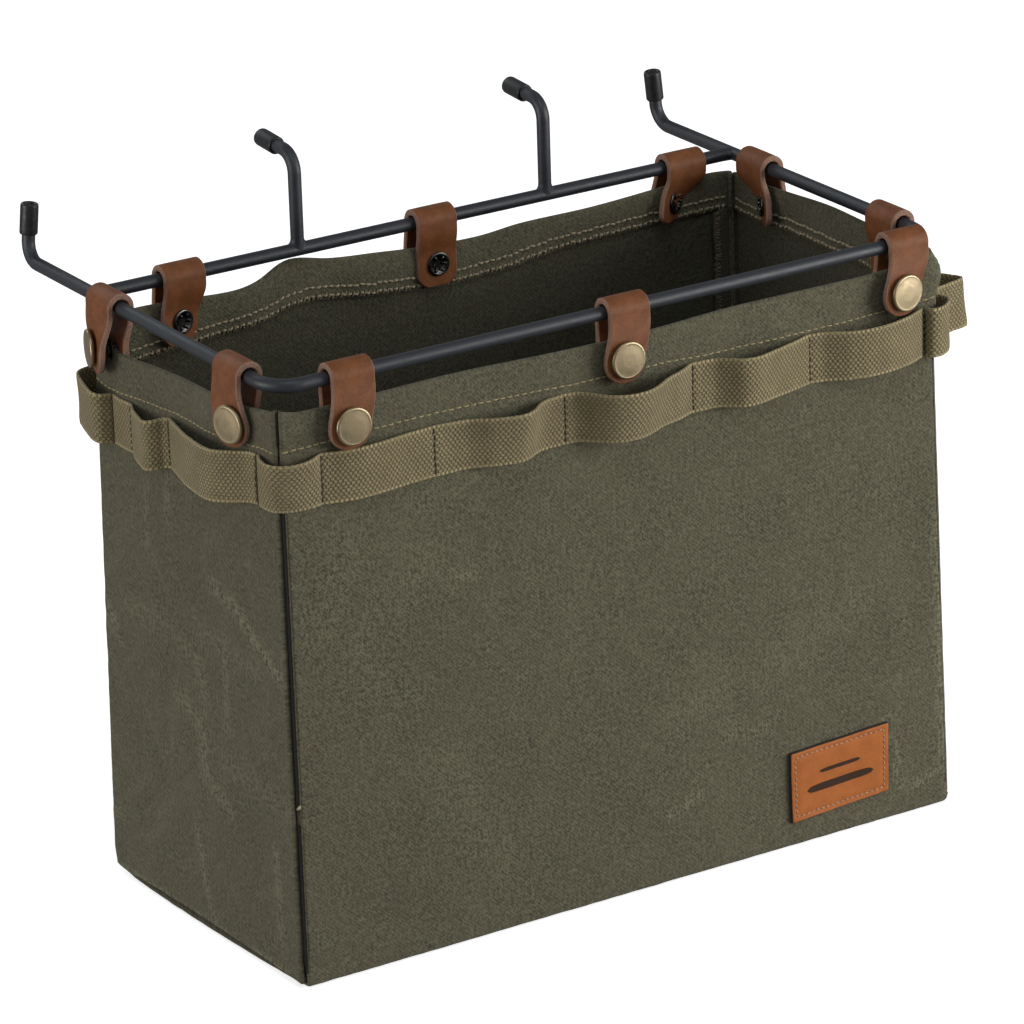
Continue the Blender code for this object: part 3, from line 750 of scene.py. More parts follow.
# Where the base's corners lie from the corners above them, in x and y.
BASE_SHIFT = {(-1, -1): (-0.9, -3.8), (1, -1): (3.4, -5.2), (1, 1): (2.0, 0.5),
              (-1, 1): (-4.9, -0.9)}
# How the soft front-right corner swells and closes towards the top (height, outwards).
TOP_SWELL = [(196, 0.0), (212, 1.2), (221, 3.0), (225, 2.6), (229, 0.6), (233, -2.4), (240, -3.0)]


HEM_DEPTH, HEM_LEAN_RISE = 24 * MM, 22 * MM    # the hem, and the height it leans over


def hem_push(distance, height):
    """How far the hem stands off the wall's plane: its lean, and its puffy crumples."""
    t = (height - (TOP_EDGE(distance) - HEM_DEPTH)) / HEM_LEAN_RISE
    corner = min(abs(distance % PERIMETER - at) for at in (*CORNER_AT.values(), PERIMETER))
    puff = math.sin(math.pi * min(max(t, 0.0), 1.0)) * ease(corner / (14 * MM)) * (
        1.1 * noise.noise(Vector((distance * 42, height * 25, 7.0)))
        + 0.5 * noise.noise(Vector((distance * 110, height * 60, 2.0))))
    return HEM_LEAN(distance) * ease(t) + puff * MM


def swell_at(z):
    z /= MM
    for (z0, s0), (z1, s1) in zip(TOP_SWELL, TOP_SWELL[1:]):
        if z0 <= z < z1:
            return (s0 + (s1 - s0) * ease((z - z0) / (z1 - z0))) * MM
    return 0.0


WALL_HEIGHT = 226 * MM
CORNER_REACH = 15 * MM        # how far round it the front-right corner swells
CALM_EDGE, CALM_FOOT = 26 * MM, 22 * MM        # the cloth is flat this near a wall's edges
WEB_FOOT, WEB_FADE = 150 * MM, 34 * MM         # the webbing holds the cloth flat from here


def settle(x, y, z, out):
    """Where a point of the plain box goes on the sagging bag; out is its wall's normal."""
    share_x, share_y = (x / HALF_W + 1) / 2, (y / HALF_D + 1) / 2
    share_x, share_y = min(max(share_x, 0), 1), min(max(share_y, 0), 1)
    shift = Vector((0.0, 0.0))
    for (sx, sy), (dx, dy) in BASE_SHIFT.items():
        weight = (share_x if sx > 0 else 1 - share_x) * (share_y if sy > 0 else 1 - share_y)
        shift += Vector((dx, dy)) * (weight * MM)
    shift *= (1 - min(max(z / WALL_HEIGHT, 0.0), 1.0)) ** 1.1
    near = math.exp(-((HALF_W - x) ** 2 + (HALF_D + y) ** 2) / CORNER_REACH ** 2)
    shift += Vector((1.0, -0.6)) * (near * swell_at(z))
    middle = min(HALF_W - abs(x), HALF_D - abs(y)) if out.z < -0.5 else (
        HALF_W - abs(x) if abs(out.y) > 0.5 else HALF_D - abs(y))
    calm = ease(middle / CALM_EDGE) * ease(z / CALM_FOOT)
    webbed = 1 - ease((z - WEB_FOOT) / WEB_FADE)
    spot = Vector((x, y, z))
    swell = (1.5 * noise.noise(spot * 15 + Vector((3.1, 0.4, 1.7)))
             + 0.75 * noise.noise(spot * 34 + Vector((0.2, 5.0, 2.2)))
             + 0.32 * noise.noise(spot * 85))
    crumple = 0.16 * noise.noise(spot * 150) + 0.09 * noise.noise(spot * 310)
    # soft vertical folds that hang from the webbing's seams
    drape = 0.35 * noise.noise(Vector((x * 26, y * 26, z * 6)) + Vector((9, 2, 4)))
    amount = calm * (0.12 + 0.88 * webbed) * (swell + drape) + crumple * (0.3 + 0.7 * webbed)
    return Vector((x + shift.x, y + shift.y, z)) + out * (amount * MM)


def outline_at(distance):
    """Point and outward direction on the plain outline."""
    distance %= PERIMETER
    for (cx, cy), (dx, dy), length in SIDES.values():
        if distance <= length:
            break
        distance -= length
    return (cx * HALF_W + dx * distance, cy * HALF_D + dy * distance), Vector((dy, -dx, 0.0))


def skin_at(distance, z, off=0.0):
    """Point on the outer skin, moved outwards by off, and the wall's outward direction."""
    plain, out = outline_at(distance)
    return settle(*plain, z, out) + out * (off + hem_push(distance, z)), out


def corner_line(sx, sy, z):
    """Point on an upright corner's sharp line."""
    return settle(sx * HALF_W, sy * HALF_D, z, Vector((0, 0, 0)))


# ---------------------------------------------------------------- canvas panels
# Each upright corner: its radius, where its seam lies (degrees round it from the long
# wall) and how far the seam gapes.
CORNERS = {(-1, -1): (2.8 * MM, 26, 0.42 * MM), (1, -1): (4.5 * MM, 76, 0.06 * MM),
           (1, 1): (3.5 * MM, 55, 0.06 * MM), (-1, 1): (3.5 * MM, 55, 0.06 * MM)}
COLUMN_STEP = 2.3 * MM
WALL_STEPS, FOOT_STEPS, BEND_STEPS, BASE_STEPS = 92, 12, 6, 34


def edge_profile(radius, seam_angle, gape):
    """(distance in from the sharp edge, inset) of the cloth's middle, from seam to flat.

    The cloth rounds its share of the corner, then turns in beside the seam.
    """
    middle_r = radius - CLOTH_T / 2
    turn_r = min(0.6 * MM, 0.24 * middle_r)
    gap = CLOTH_T / 2 + gape
    angle = math.radians(seam_angle)
    reach = (gap + turn_r) / (middle_r - turn_r)
    limit = max(angle - math.asin(min(reach, 0.98)), 0.0)
    inward = Vector((math.sin(angle), math.cos(angle)))
    extra = 0.0
    if limit == 0.0:
        extra = (gap + turn_r - (middle_r - turn_r) * math.sin(angle)) / math.cos(angle)
    start = Vector((radius + extra - middle_r * math.sin(limit),
                    radius - middle_r * math.cos(limit)))
    centre = start + Vector((math.sin(limit), math.cos(limit))) * turn_r
    sweep = math.pi / 2 + angle - limit
    turned = [centre + Matrix.Rotation(-sweep * k / 5, 2) @ (start - centre)
              for k in range(5, 0, -1)]
    tail = [turned[0] + inward * d * MM for d in (2.6, 1.3, 0.6)]
    arc = [Vector((radius + extra * (1 + k / 3) - middle_r * math.sin(limit * k / 4),
                   radius - middle_r * math.cos(limit * k / 4))) for k in range(4, -1, -1)]
    if extra:
        arc = [Vector((radius + extra * (1 + (4 - k) / 3), CLOTH_T / 2)) for k in range(4, -1, -1)]
    return tail + turned + arc


def columns(half, low_corner, high_corner):
    """(place along the wall, inset) of each column from the low seam to the high seam."""
    low = [(-half + p.x, p.y) for p in edge_profile(*low_corner)]
    high = [(half - p.x, p.y) for p in reversed(edge_profile(*high_corner))]
    first, last = low[-1][0], high[0][0]
    count = round(2 * half / COLUMN_STEP)
    flat = [(first + (last - first) * k / count, CLOTH_T / 2) for k in range(1, count)]
    return low + flat + high


def hem_stations(top, stitch):
    """(height, extra inset) from the wall's top stretch over the fold and down inside."""
    start = top - CLOTH_T / 2 - HEM_FOLD_R
    stations = []
    for k in range(9):
        angle = math.pi * k / 8
        stations.append((start + HEM_FOLD_R * math.sin(angle), HEM_FOLD_R * (1 - math.cos(angle))))
    bottom = stitch - 3.6 * MM
    for k in range(1, 8):
        t = k / 7
        height = start + (bottom - start) * t
        pinch = 0.25 * MM * math.sin(math.pi * t)
        stations.append((height, 2 * HEM_FOLD_R + pinch))
    return stations


def roll_share(t):
    """How fully the base's edge rolls out, a share t of the way along a side wall."""
    return max(math.sin(math.pi * min(max(t, 0.0), 1.0)), 0.0) ** 0.6


def base_radius(x, sy):
    slack = max(1 - (x + HALF_W) / (26 * MM), 0.0) if sy > 0 else 0.0
    return BASE_R + (SLACK_BASE_R - BASE_R) * slack ** 1.4


def wall_points(distance, inset, plain, out, foot):
    """Vertical run of the cloth's middle on one wall column, upwards from height foot."""
    stitch = STITCH_LINE(distance)
    hem = hem_stations(TOP_EDGE(distance), stitch)
    start = hem[0][0]
    rise = [(foot + (start - foot) * k / WALL_STEPS, 0.0) for k in range(WALL_STEPS)]
    along, half = (Vector((1, 0, 0)), HALF_W) if out.y else (Vector((0, 1, 0)), HALF_D)
    place = Vector((*plain, 0.0)).dot(along)
    # the fold inside turns in from the wall's ends, to lie within the other walls
    inwards = -math.copysign(min(max(1 - (half - abs(place)) / (9 * MM), 0.0), 1.0), place)
    points = []
    for height, extra in rise + hem:
        # the hem's double edge stands a little proud, and pulls in at its stitches
        stitched = math.exp(-((height - stitch) / (1.7 * MM)) ** 2)
        proud = (0.25 * ease((height - stitch) / (5 * MM)) - 0.3 * stitched) * MM
        if extra > HEM_FOLD_R:
            proud *= -0.4
        aside = along * (inwards * extra)
        aside.x += seam_gap(plain, out, height)
        push = hem_push(distance, height) + proud - inset - extra
        points.append(settle(*plain, height, out) + out * push + aside)
    return points


# The front-left seam: where a stitch holds it shut, and the heights the gap changes at.
SEWN_AT, GAP_WIDENS, GAP_CLOSES, HEM_CLOSED = 69 * MM, 76 * MM, 186 * MM, 205 * MM


def seam_gap(plain, out, height):
    """How far a column moves off the front-left corner, where the front's seam gapes."""
    if out.y > -0.5 or plain[0] > 0:
        return 0.0
    near = 1 - min(max((plain[0] + HALF_W) / (12 * MM), 0.0), 1.0)
    sewn = math.exp(-((height - SEWN_AT) / (2.6 * MM)) ** 2)
    width = 0.55 + 0.25 * ease((height - GAP_WIDENS) / (20 * MM))
    width += 0.15 * noise.noise(Vector((height * 40, 2.0, 5.0)))
    width *= ease((height - 4 * MM) / (16 * MM))
    return near * (width * (1 - 0.95 * sewn) * (1 - ease((height - GAP_CLOSES) / (16 * MM)))
                   - 0.25 * ease((height - HEM_CLOSED) / (6 * MM))) * MM


def bend_points(x, inset, sy, radius):
    """The cloth's turn between a wall's foot and the flat of the base."""
    points = []
    for j in range(1, BEND_STEPS):
        angle = math.pi / 2 * (1 - j / BEND_STEPS)
        out = Vector((0.0, sy * math.sin(angle), -math.cos(angle)))
        plain = Vector((x, sy * (HALF_D - radius + radius * math.sin(angle)),
                        radius * (1 - math.cos(angle))))
        points.append(settle(*plain, out) - out * inset)
    return points


def wrap_panel():
    """Front wall, base and back wall in one length of canvas, with both hems."""
    front_cols, back_cols = (columns(HALF_W, CORNERS[-1, sy], CORNERS[1, sy]) for sy in (-1, 1))
    grid, uvs = [], []
    for (xf, inset_f), (xb, inset_b) in zip(front_cols, back_cols):
        radius_f, radius_b = base_radius(xf, -1), base_radius(xb, 1)
        front = wall_points(distance_of("front", xf / MM), inset_f, (xf, -HALF_D),
                            Vector((0, -1, 0)), radius_f)
        back = wall_points(distance_of("back", xb / MM), inset_b, (xb, HALF_D),
                           Vector((0, 1, 0)), radius_b)
        base = []
        for j in range(BASE_STEPS + 1):
            t = j / BASE_STEPS
            x = xf + (xb - xf) * t
            x -= BASE_ROLL * roll_share(t) * max(1 - (x + HALF_W) / (8 * MM), 0.0)
            y = radius_f - HALF_D + (2 * HALF_D - radius_f - radius_b) * t
            base.append(settle(x, y, 0.0, -UP) + UP * (inset_f + (inset_b - inset_f) * t))
        column = (front[::-1] + bend_points(xf, inset_f, -1, radius_f) + base
                  + bend_points(xb, inset_b, 1, radius_b)[::-1] + back)
        grid.append(column)
        uvs.append([(xf, v) for v in lengths_along(column, len(front) - 1)])
    panel = add_piece("canvas_front_base_back", grid_bmesh(grid, uvs),
                      ["canvas", "canvas_inside"], ["canvas_wrap_panel"])
    # painted shade: the base's rolled edge under the left wall takes the darker inside look, so it
    # reads darker than the rubbed walls
    edge = Vector((6 * MM - HALF_W, HALF_D - 5 * MM, 3 * MM))
    for face in panel.data.polygons:
        spot = face.center
        if spot.x < edge.x and abs(spot.y) < edge.y and spot.z < edge.z:
            face.material_index = 1
    return panel


def side_panel(side, sign):
    """Side wall with rounded lower corners; its edges turn in to the seams."""
    ends = [(r, 90 - angle, gape) for r, angle, gape in (CORNERS[sign, -1], CORNERS[sign, 1])]
    foot = SLACK_BASE_R + 1.0 * MM
    grid, uvs = [], []
    for y, inset in columns(HALF_D, *ends):
        upper = wall_points(distance_of(side, y / MM), inset, (sign * HALF_W, y),
                            Vector((sign, 0, 0)), foot)
        bulge = roll_share(0.5 + y / (2 * HALF_D))
        bottom = edge_profile((1.6 + 1.8 * bulge) * MM, 45, 0.06 * MM)
        lift = BASE_ROLL / 2 * bulge if sign < 0 else 0.0
        lower = [low_corner(y, p.x + lift, max(inset, p.y), sign) for p in bottom]
        start = bottom[-1].x + lift
        lower += [low_corner(y, start + (foot - start) * k / FOOT_STEPS, inset, sign)
                  for k in range(1, FOOT_STEPS)]
        grid.append(lower + upper)
        uvs.append([(y, v) for v in lengths_along(lower + upper, len(lower))])
    return add_piece(f"canvas_{side}_wall", grid_bmesh(grid, uvs),
                     ["canvas_creased", "canvas_inside"],
                     [f"canvas_{side}_panel"])


def low_corner(y, z, inset, sign):
    """A side-wall point near the base, pulled in where the outline's lower corner is round."""
    radius = base_radius(sign * HALF_W, math.copysign(1, y))
    across, up = 1 - min((HALF_D - abs(y)) / radius, 1.0), 1 - min(z / radius, 1.0)
    if across > 0 and up > 0:
        new_across = across * math.sqrt(1 - up * up / 2)
        new_up = up * math.sqrt(1 - across * across / 2)
        y = math.copysign(HALF_D - radius + radius * new_across, y)
        z = radius * (1 - new_up)
    return settle(sign * HALF_W, y, z, Vector((sign, 0, 0))) - Vector((sign * inset, 0, 0))


# Old folds rubbed pale: (half width, strength, places along the wall and heights).
RUBBED = {
    "left": [(3.2, 0.5, [(66, 114), (60, 108), (56, 101)]), (2.6, 0.4, [(69, 106), (65, 102)]),
             (5.0, 0.3, [(43, 117), (12, 118), (-3, 110), (-8, 96)]),
             (3.4, 0.75, [(-17, 146), (-36, 141), (-47, 133), (-66, 124)]),
             (2.2, 0.45, [(-25, 124), (-25, 107), (-25, 89)]),
             (4.0, 0.5, [(10, 91), (-5, 85), (-8, 66), (-26, 57)]),
             (1.9, 0.6, [(0, 40), (-6, 21), (-11, 5)]), (2.4, 0.4, [(72, 26), (59, 24)]),
             (2.4, 0.45, [(-57, 52), (-58, 31), (-59, 13)]), (2.0, 0.35, [(29, 172), (30, 149)]),
             (2.0, 0.4, [(11, 182), (15, 163)]), (5.0, 0.25, [(-4, 124), (-29, 122), (-51, 122)]),
             (5.0, 0.25, [(-25, 74), (-47, 74), (-67, 71)]), (1.1, 0.55, [(66, 3.8), (-67, 3.4)])],
    "front": [(2.0, 0.5, [(16, 28), (22, 30), (31, 34)]), (3.0, 0.3, [(45, 54), (62, 54)]),
              (2.0, 0.5, [(125, 13), (136, 12), (147, 15)]), (1.8, 0.4, [(123, 34), (125, 13)]),
              (2.4, 0.5, [(146.5, 122), (146.5, 18)]), (1.9, 0.45, [(118, 42), (121, 44)]),
              (7.0, 0.15, [(20, 68), (34, 71), (50, 80)]), (9.0, 0.12, [(65, 78), (107, 94)]),
              (2.4, 0.35, [(-75, 147), (-66, 148)]), (9.0, 0.2, [(-123, 174), (-133, 140)]),
              (12.0, 0.16, [(-86, 156), (-103, 149), (-121, 130), (-100, 105)]),
              (14.0, 0.14, [(-84, 78), (-76, 56), (-60, 30)]),
              (10.0, 0.12, [(-35, 195), (-70, 185), (-90, 180)])]}


def rub(mesh, side):
    """Raise a wall's rubbed folds a little and mark them for the canvas material."""
    out = outline_at(distance_of(side, 0))[1]
    along, reach = Vector((abs(out.y), abs(out.x), 0)), (HALF_W if out.x else HALF_D) - 9 * MM
    layer = mesh.attributes.new("worn", "FLOAT", "POINT")
    for vert, value in zip(mesh.vertices, layer.data):
        if vert.co.dot(out) < reach:
            continue
        spot, worn = Vector((vert.co.dot(along), vert.co.z)) / MM, 0.0
        for half, strength, line in RUBBED[side]:
            for a, b in zip(line, line[1:]):
                a, b = Vector(a), Vector(b)
                t = min(max((spot - a).dot(b - a) / (b - a).length_squared, 0.0), 1.0)
                near = (spot - a.lerp(b, t)).length / half
                if near < 2.5:
                    worn = max(worn, strength * math.exp(-near * near))
        value.value = worn
        vert.co += out * (worn * 0.4 * MM)


def thicken(obj):
    solid = obj.modifiers.new("cloth", "SOLIDIFY")
    solid.thickness = CLOTH_T
    solid.offset = 0.0
    solid.use_even_offset = False
    solid.material_offset = 1


# ---------------------------------------------------------------- hem threads and seams
def stitch_rings(start, end, out, radius, sink, steps=6):
    """One stitch: a short thread that dives into the cloth at both ends."""
    along = end - start
    side = along.cross(out).normalized()
    rings = []
    for k in range(steps + 1):
        t = k / steps
        arch = math.sin(math.pi * t)
        centre = start + along * t + out * (arch * radius * 1.1 - sink)
        thick = radius * (0.45 + 0.55 * arch ** 0.5)
        rings.append([centre + side * thick * math.cos(a) + out * thick * math.sin(a)
                      for a in (math.pi * j / 4 for j in range(8))])
    return rings


def thread_piece(name, threads, look):
    return add_piece(name, join(threads), [look], sharp=60.0)


def stitch_line(name, spots, look, radius=0.33 * MM, pitch=3.2 * MM, share=0.74,
                wobble=0.12, seed=1):
    """Running stitches along spots (point, outward direction), as one piece."""
    rng = random.Random(seed)
    lengths = lengths_along([point for point, _ in spots])

    def at(distance):
        k = max(i for i in range(len(spots) - 1) if lengths[i] <= distance + 1e-9)
        t = (distance - lengths[k]) / max(lengths[k + 1] - lengths[k], 1e-9)
        return spots[k][0].lerp(spots[k + 1][0], t), spots[k][1].lerp(spots[k + 1][1], t)

    bms = []
    count = max(1, int(lengths[-1] / pitch))
    for k in range(count):
        first = lengths[-1] * (k + (1 - share) / 2) / count
        last = lengths[-1] * (k + (1 + share) / 2) / count
        (a, out), (b, _) = at(first), at(last)
        side = (b - a).cross(out).normalized() * (radius * wobble)
        a += side * rng.uniform(-3, 3)
        b += side * rng.uniform(-3, 3)
        bms.append(tube_bmesh(stitch_rings(a, b, out.normalized(), radius, radius * 0.35)))
    return thread_piece(name, bms, look)


def hem_spots(low, high, shift, inside):
    """Places along the hem's stitch line between two distances round the bag."""
    spots = []
    count = int((high - low) / (2.2 * MM))
    for k in range(count + 1):
        distance = low + (high - low) * k / count
        height = STITCH_LINE(distance) + shift
        off = -2 * CLOTH_T - 0.18 * MM if inside else -0.3 * MM
        point, out = skin_at(distance, height, off)
        spots.append((point, -out if inside else out))
    return spots


def overlock_row(name, low, high, seed):
    """Uneven slanting threads over the hem's raw lower edge, inside the bag."""
    rng = random.Random(seed + 20)
    bms = []
    count = int((high - low) / (1.75 * MM))
    for k in range(count):
        distance = low + (high - low) * (k + rng.uniform(0.3, 0.7)) / count
        ends = []
        for ahead, drop in ((0.0, -0.9), (rng.uniform(0.5, 1.4), -3.0 + rng.uniform(-0.5, 0.4))):
            at = distance + ahead * MM
            point, out = skin_at(at, STITCH_LINE(at) + drop * MM, -2 * CLOTH_T - 0.25 * MM)
            ends.append(point)
        bms.append(tube_bmesh(stitch_rings(ends[0], ends[1], -out, 0.3 * MM, 0.05 * MM, 4)))
    return thread_piece(name, bms, "dull_thread")


# Section of a seam allowance in millimetres: depth from the corner and side.
ALLOWANCE = ((2.6, 0.95), (6.0, 0.95), (12.4, 0.95), (13.2, 0.6), (13.2, -0.6), (12.4, -0.95),
             (6.0, -0.95), (2.6, -0.95))


def seam_allowance(name, sx, sy):
    """The two panels' edges sewn together inside a corner, overlocked, standing inwards."""
    low = max(9 * MM, base_radius(sx * HALF_W, sy))
    high = STITCH_LINE(CORNER_AT[sx, sy]) - 3.0 * MM
    inward = Vector((-0.93 * sx, -0.37 * sy, 0)).normalized()
    side = Vector((-inward.y, inward.x, 0))

    def lean_at(z):
        return 0.9 * MM * noise.noise(Vector((z * 22, sy, sx + 4)))

    rows, steps = [], 60
    for k in range(steps + 1):
        z = low + (high - low) * k / steps
        wave = 1 + 0.10 * noise.noise(Vector((z * 60, sx, sy)))
        ring = []
        for depth, half in ALLOWANCE:
            reach = depth * MM * (wave if depth > 6 else 1)
            ring.append(corner_line(sx, sy, z) + inward * reach
                        + side * (half * MM + lean_at(z) * depth / 9))
        rows.append(ring)
    piece = add_piece(name, tube_bmesh(rows), ["allowance"], sharp=50.0)
    loops = []
    rng = random.Random(sx * 3 + sy)
    count = int((high - low) / (1.3 * MM))
    for k in range(count):
        z = low + (high - low) * (k + 0.5) / count
        corner, lean = corner_line(sx, sy, z), lean_at(z)
        for face in (-1, 1):
            a = corner + inward * (rng.uniform(10.6, 11.8) * MM) + side * (
                face * 1.05 * MM + lean * 1.25)
            b = corner + inward * ((13.3 + rng.uniform(-0.3, 0.5)) * MM) + side * (
                face * 0.7 * MM + lean * 1.45)
            b += UP * rng.uniform(-0.6, 1.3) * MM
            loops.append(tube_bmesh(stitch_rings(a, b, side * face, 0.2 * MM, 0.1 * MM, 4)))
    return piece, thread_piece(name + "_overlock", loops, "dull_thread")


def seam_tape():
    """Near-black strips of painted shade in the gaping front-left seam, which is sewn shut in one
    place.
    """
    pieces = []
    for number, (low, high) in enumerate(((6.0, 66.5), (71.5, 206.0))):
        rows, steps = [], 40
        for k in range(steps + 1):
            z = (low + (high - low) * k / steps) * MM
            corner = corner_line(-1, -1, z)
            end = min(k, steps - k) / 7
            half = 0.38 + 0.10 * number + 0.10 * noise.noise(Vector((z * 50, 1, 8)))
            half *= MM * min(0.25 + end, 1.0)
            rows.append([corner + Vector(((2.1 + 0.1 * number) * MM + a * half,
                                          (0.35 + b) * MM, 0))
                         for a, b in ((-1, 0), (1, 0), (1, 0.6), (-1, 0.6))])
        # each strip is painted shade in the seam's gap
        pieces.append(add_piece(f"front_left_seam_tape_{number}", tube_bmesh(rows), ["tape"]))
    corner = corner_line(-1, -1, 73.5 * MM)
    spots = [(corner + Vector(shift) * MM, Vector((-0.4, -0.9, 0)))
             for shift in ((1.6, 0.1, -0.9), (2.6, -0.1, 0.9))]
    pieces.append(stitch_line("front_left_thread_end", spots, "cream_thread", radius=0.6 * MM,
                              pitch=3 * MM, share=1.0))
    return pieces


def build_bag():
    wrap = wrap_panel()
    left, right = side_panel("left", -1), side_panel("right", 1)
    rub(wrap.data, "front")
    rub(left.data, "left")
    for panel in (wrap, left, right):
        thicken(panel)
    trims = []
    for sx, sy in CORNER_AT:
        corner = f"{'front' if sy < 0 else 'back'}_{'left' if sx < 0 else 'right'}"
        trims += seam_allowance("seam_allowance_" + corner, sx, sy)
    trims += seam_tape()
    inset, margin = 2.5 * MM, 2.5 * MM
    starts = (*CORNER_AT.values(), PERIMETER)
    rows = {}
    for seed, (side, low, high) in enumerate(zip(SIDES, starts, starts[1:])):
        low, high = low + inset, high - inset
        rows[side] = [stitch_line("hem_stitches_outer_" + side, hem_spots(low, high, 0.0, False),
                                  "khaki_thread", share=0.84, seed=seed)]
        low, high = low + margin, high - margin
        for row, shift, share in (("upper", 1.9, 0.96), ("lower", -1.7, 0.72)):
            rows[side].append(stitch_line(
                f"hem_stitches_inner_{row}_{side}", hem_spots(low, high, shift * MM, True),
                "cream_thread", radius=0.5 * MM, pitch=2.7 * MM, share=share, wobble=0.3,
                seed=seed + 7))
        rows[side].append(overlock_row("hem_overlock_" + side, low, high, seed))


# ---------------------------------------------------------------- webbing tool loops
# Each run of tape starts at a place, with its top edge so far below the band's top, and goes
# on in stretches from seam to seam: that drop at the stretch's end, how far the top edge
# leans out over the bottom edge, and the middle line seen from above.
BAND_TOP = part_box("webbing_front")[1].z
WEBBING_RUNS = {
    "webbing_front": ((-149.4, -57.2), 0, [
        (0, 4, [(-150.4, -63), (-149.7, -68.4), (-146, -71.8), (-140.5, -72.8), (-135, -72),
                (-130.6, -70.5)]),
        (0, 0, [(-126, -71.3), (-120, -72.9), (-115, -73.4), (-109, -73.1), (-102, -72.2),
                (-96, -71.2), (-90, -70.6), (-81.8, -70.4)]),
        (0, 2.8, [(-74, -70.4), (-68, -71), (-64, -72.5), (-60, -74.6), (-55, -76.4),
                  (-50, -77.6), (-46, -77.5), (-42, -75.6), (-38.5, -72.9), (-35, -71.2),
                  (-31, -70.5), (-24.5, -70.4)]),
        (0, 3.4, [(-20, -70.8), (-16.5, -73.4), (-13.5, -76.9), (-11, -79.7), (-7.8, -82),
                  (-4, -83.4), (0, -83.8), (5, -82.9), (10, -80.6), (15, -77.6), (20, -75.5),
                  (24, -74.2), (28, -72.6), (31, -71.1), (33.1, -70.4)]),
        (0, 1.2, [(38, -70.4), (43.5, -71), (48, -74), (52, -77.2), (56, -78.3), (61, -77.7),
                  (67, -76), (73, -74.3), (79, -72.6), (84, -71.2), (87.4, -70.4)]),
        (0, 1, [(93, -71.2), (96, -72.5), (99, -74.2), (102.3, -76), (106, -77.2), (110, -78.1),
                (115, -78.2), (120, -77.9), (125, -76.9), (130, -75.6), (135, -73.6),
                (140.3, -71.3)])]),
    "webbing_right": ((141.8, -71.5), 0, [
        (0, 0, [(143.4, -74.4), (147.5, -74.3), (152.3, -71.4), (155.6, -67), (154.8, -62.4),
                (151.4, -59.8), (149.5, -58.5)]),
        (0, -2.4, [(152.5, -56.7), (160, -54.5), (168, -52.7), (173.8, -51.4), (176.2, -49.4),
                   (175.6, -46.6), (173, -42), (169.4, -36), (164, -27), (158, -14),
                   (152.6, -2), (149.5, 7.3)]),
        (0, 0, [(154, 11), (158.4, 17), (159.6, 23), (157.4, 30), (152.8, 36.5), (149.5, 40.3)]),
        (0, 0, [(149.5, 46.5), (149.5, 52.8)])]),
    "webbing_back": ((149.5, 54.3), 0, [
        (0, 0, [(152.3, 60), (154.4, 67.5), (152.4, 74), (146.2, 75.4), (140.3, 70.6)]),
        (0, 0, [(128, 74.2), (114, 76.8), (100, 74.2), (87.4, 70.6)]),
        (0, 0, [(74, 74.6), (60, 77.2), (46, 74.6), (33.1, 70.6)]),
        (0, 0, [(20, 74.8), (4, 77.6), (-12, 74.6), (-24.5, 70.6)]),
        (0, 0, [(-38, 74.4), (-53, 77), (-68, 74.2), (-81.8, 70.6)]),
        (0, 0, [(-94, 73.6), (-106, 76), (-119, 73.6), (-130.6, 70.6)])]),
    "webbing_left": ((-132.1, 70.6), 4, [
        (8, 0, [(-138, 75.2), (-146, 78), (-151.3, 76.2), (-153.2, 71), (-154.9, 64),
                (-156.2, 57.4), (-155.2, 53.9), (-152, 52.9), (-149.6, 52.8)]),
        (7.8, 0, [(-149.6, 45), (-149.6, 38)]),
        (5, 0, [(-151.6, 33), (-153.8, 26.5), (-155.6, 20.5), (-156.7, 16.4), (-156.1, 13.4),
                (-153.8, 12), (-151.3, 11.2), (-149.6, 8.5)]),
        (0, -1.2, [(-151, 2), (-153.1, -6), (-155, -13), (-156.4, -20), (-157.8, -30),
                   (-157.6, -37), (-155.8, -41.2), (-153.4, -45), (-151, -48.5), (-149.7, -52),
                   (-149.4, -56.2)])]),
}


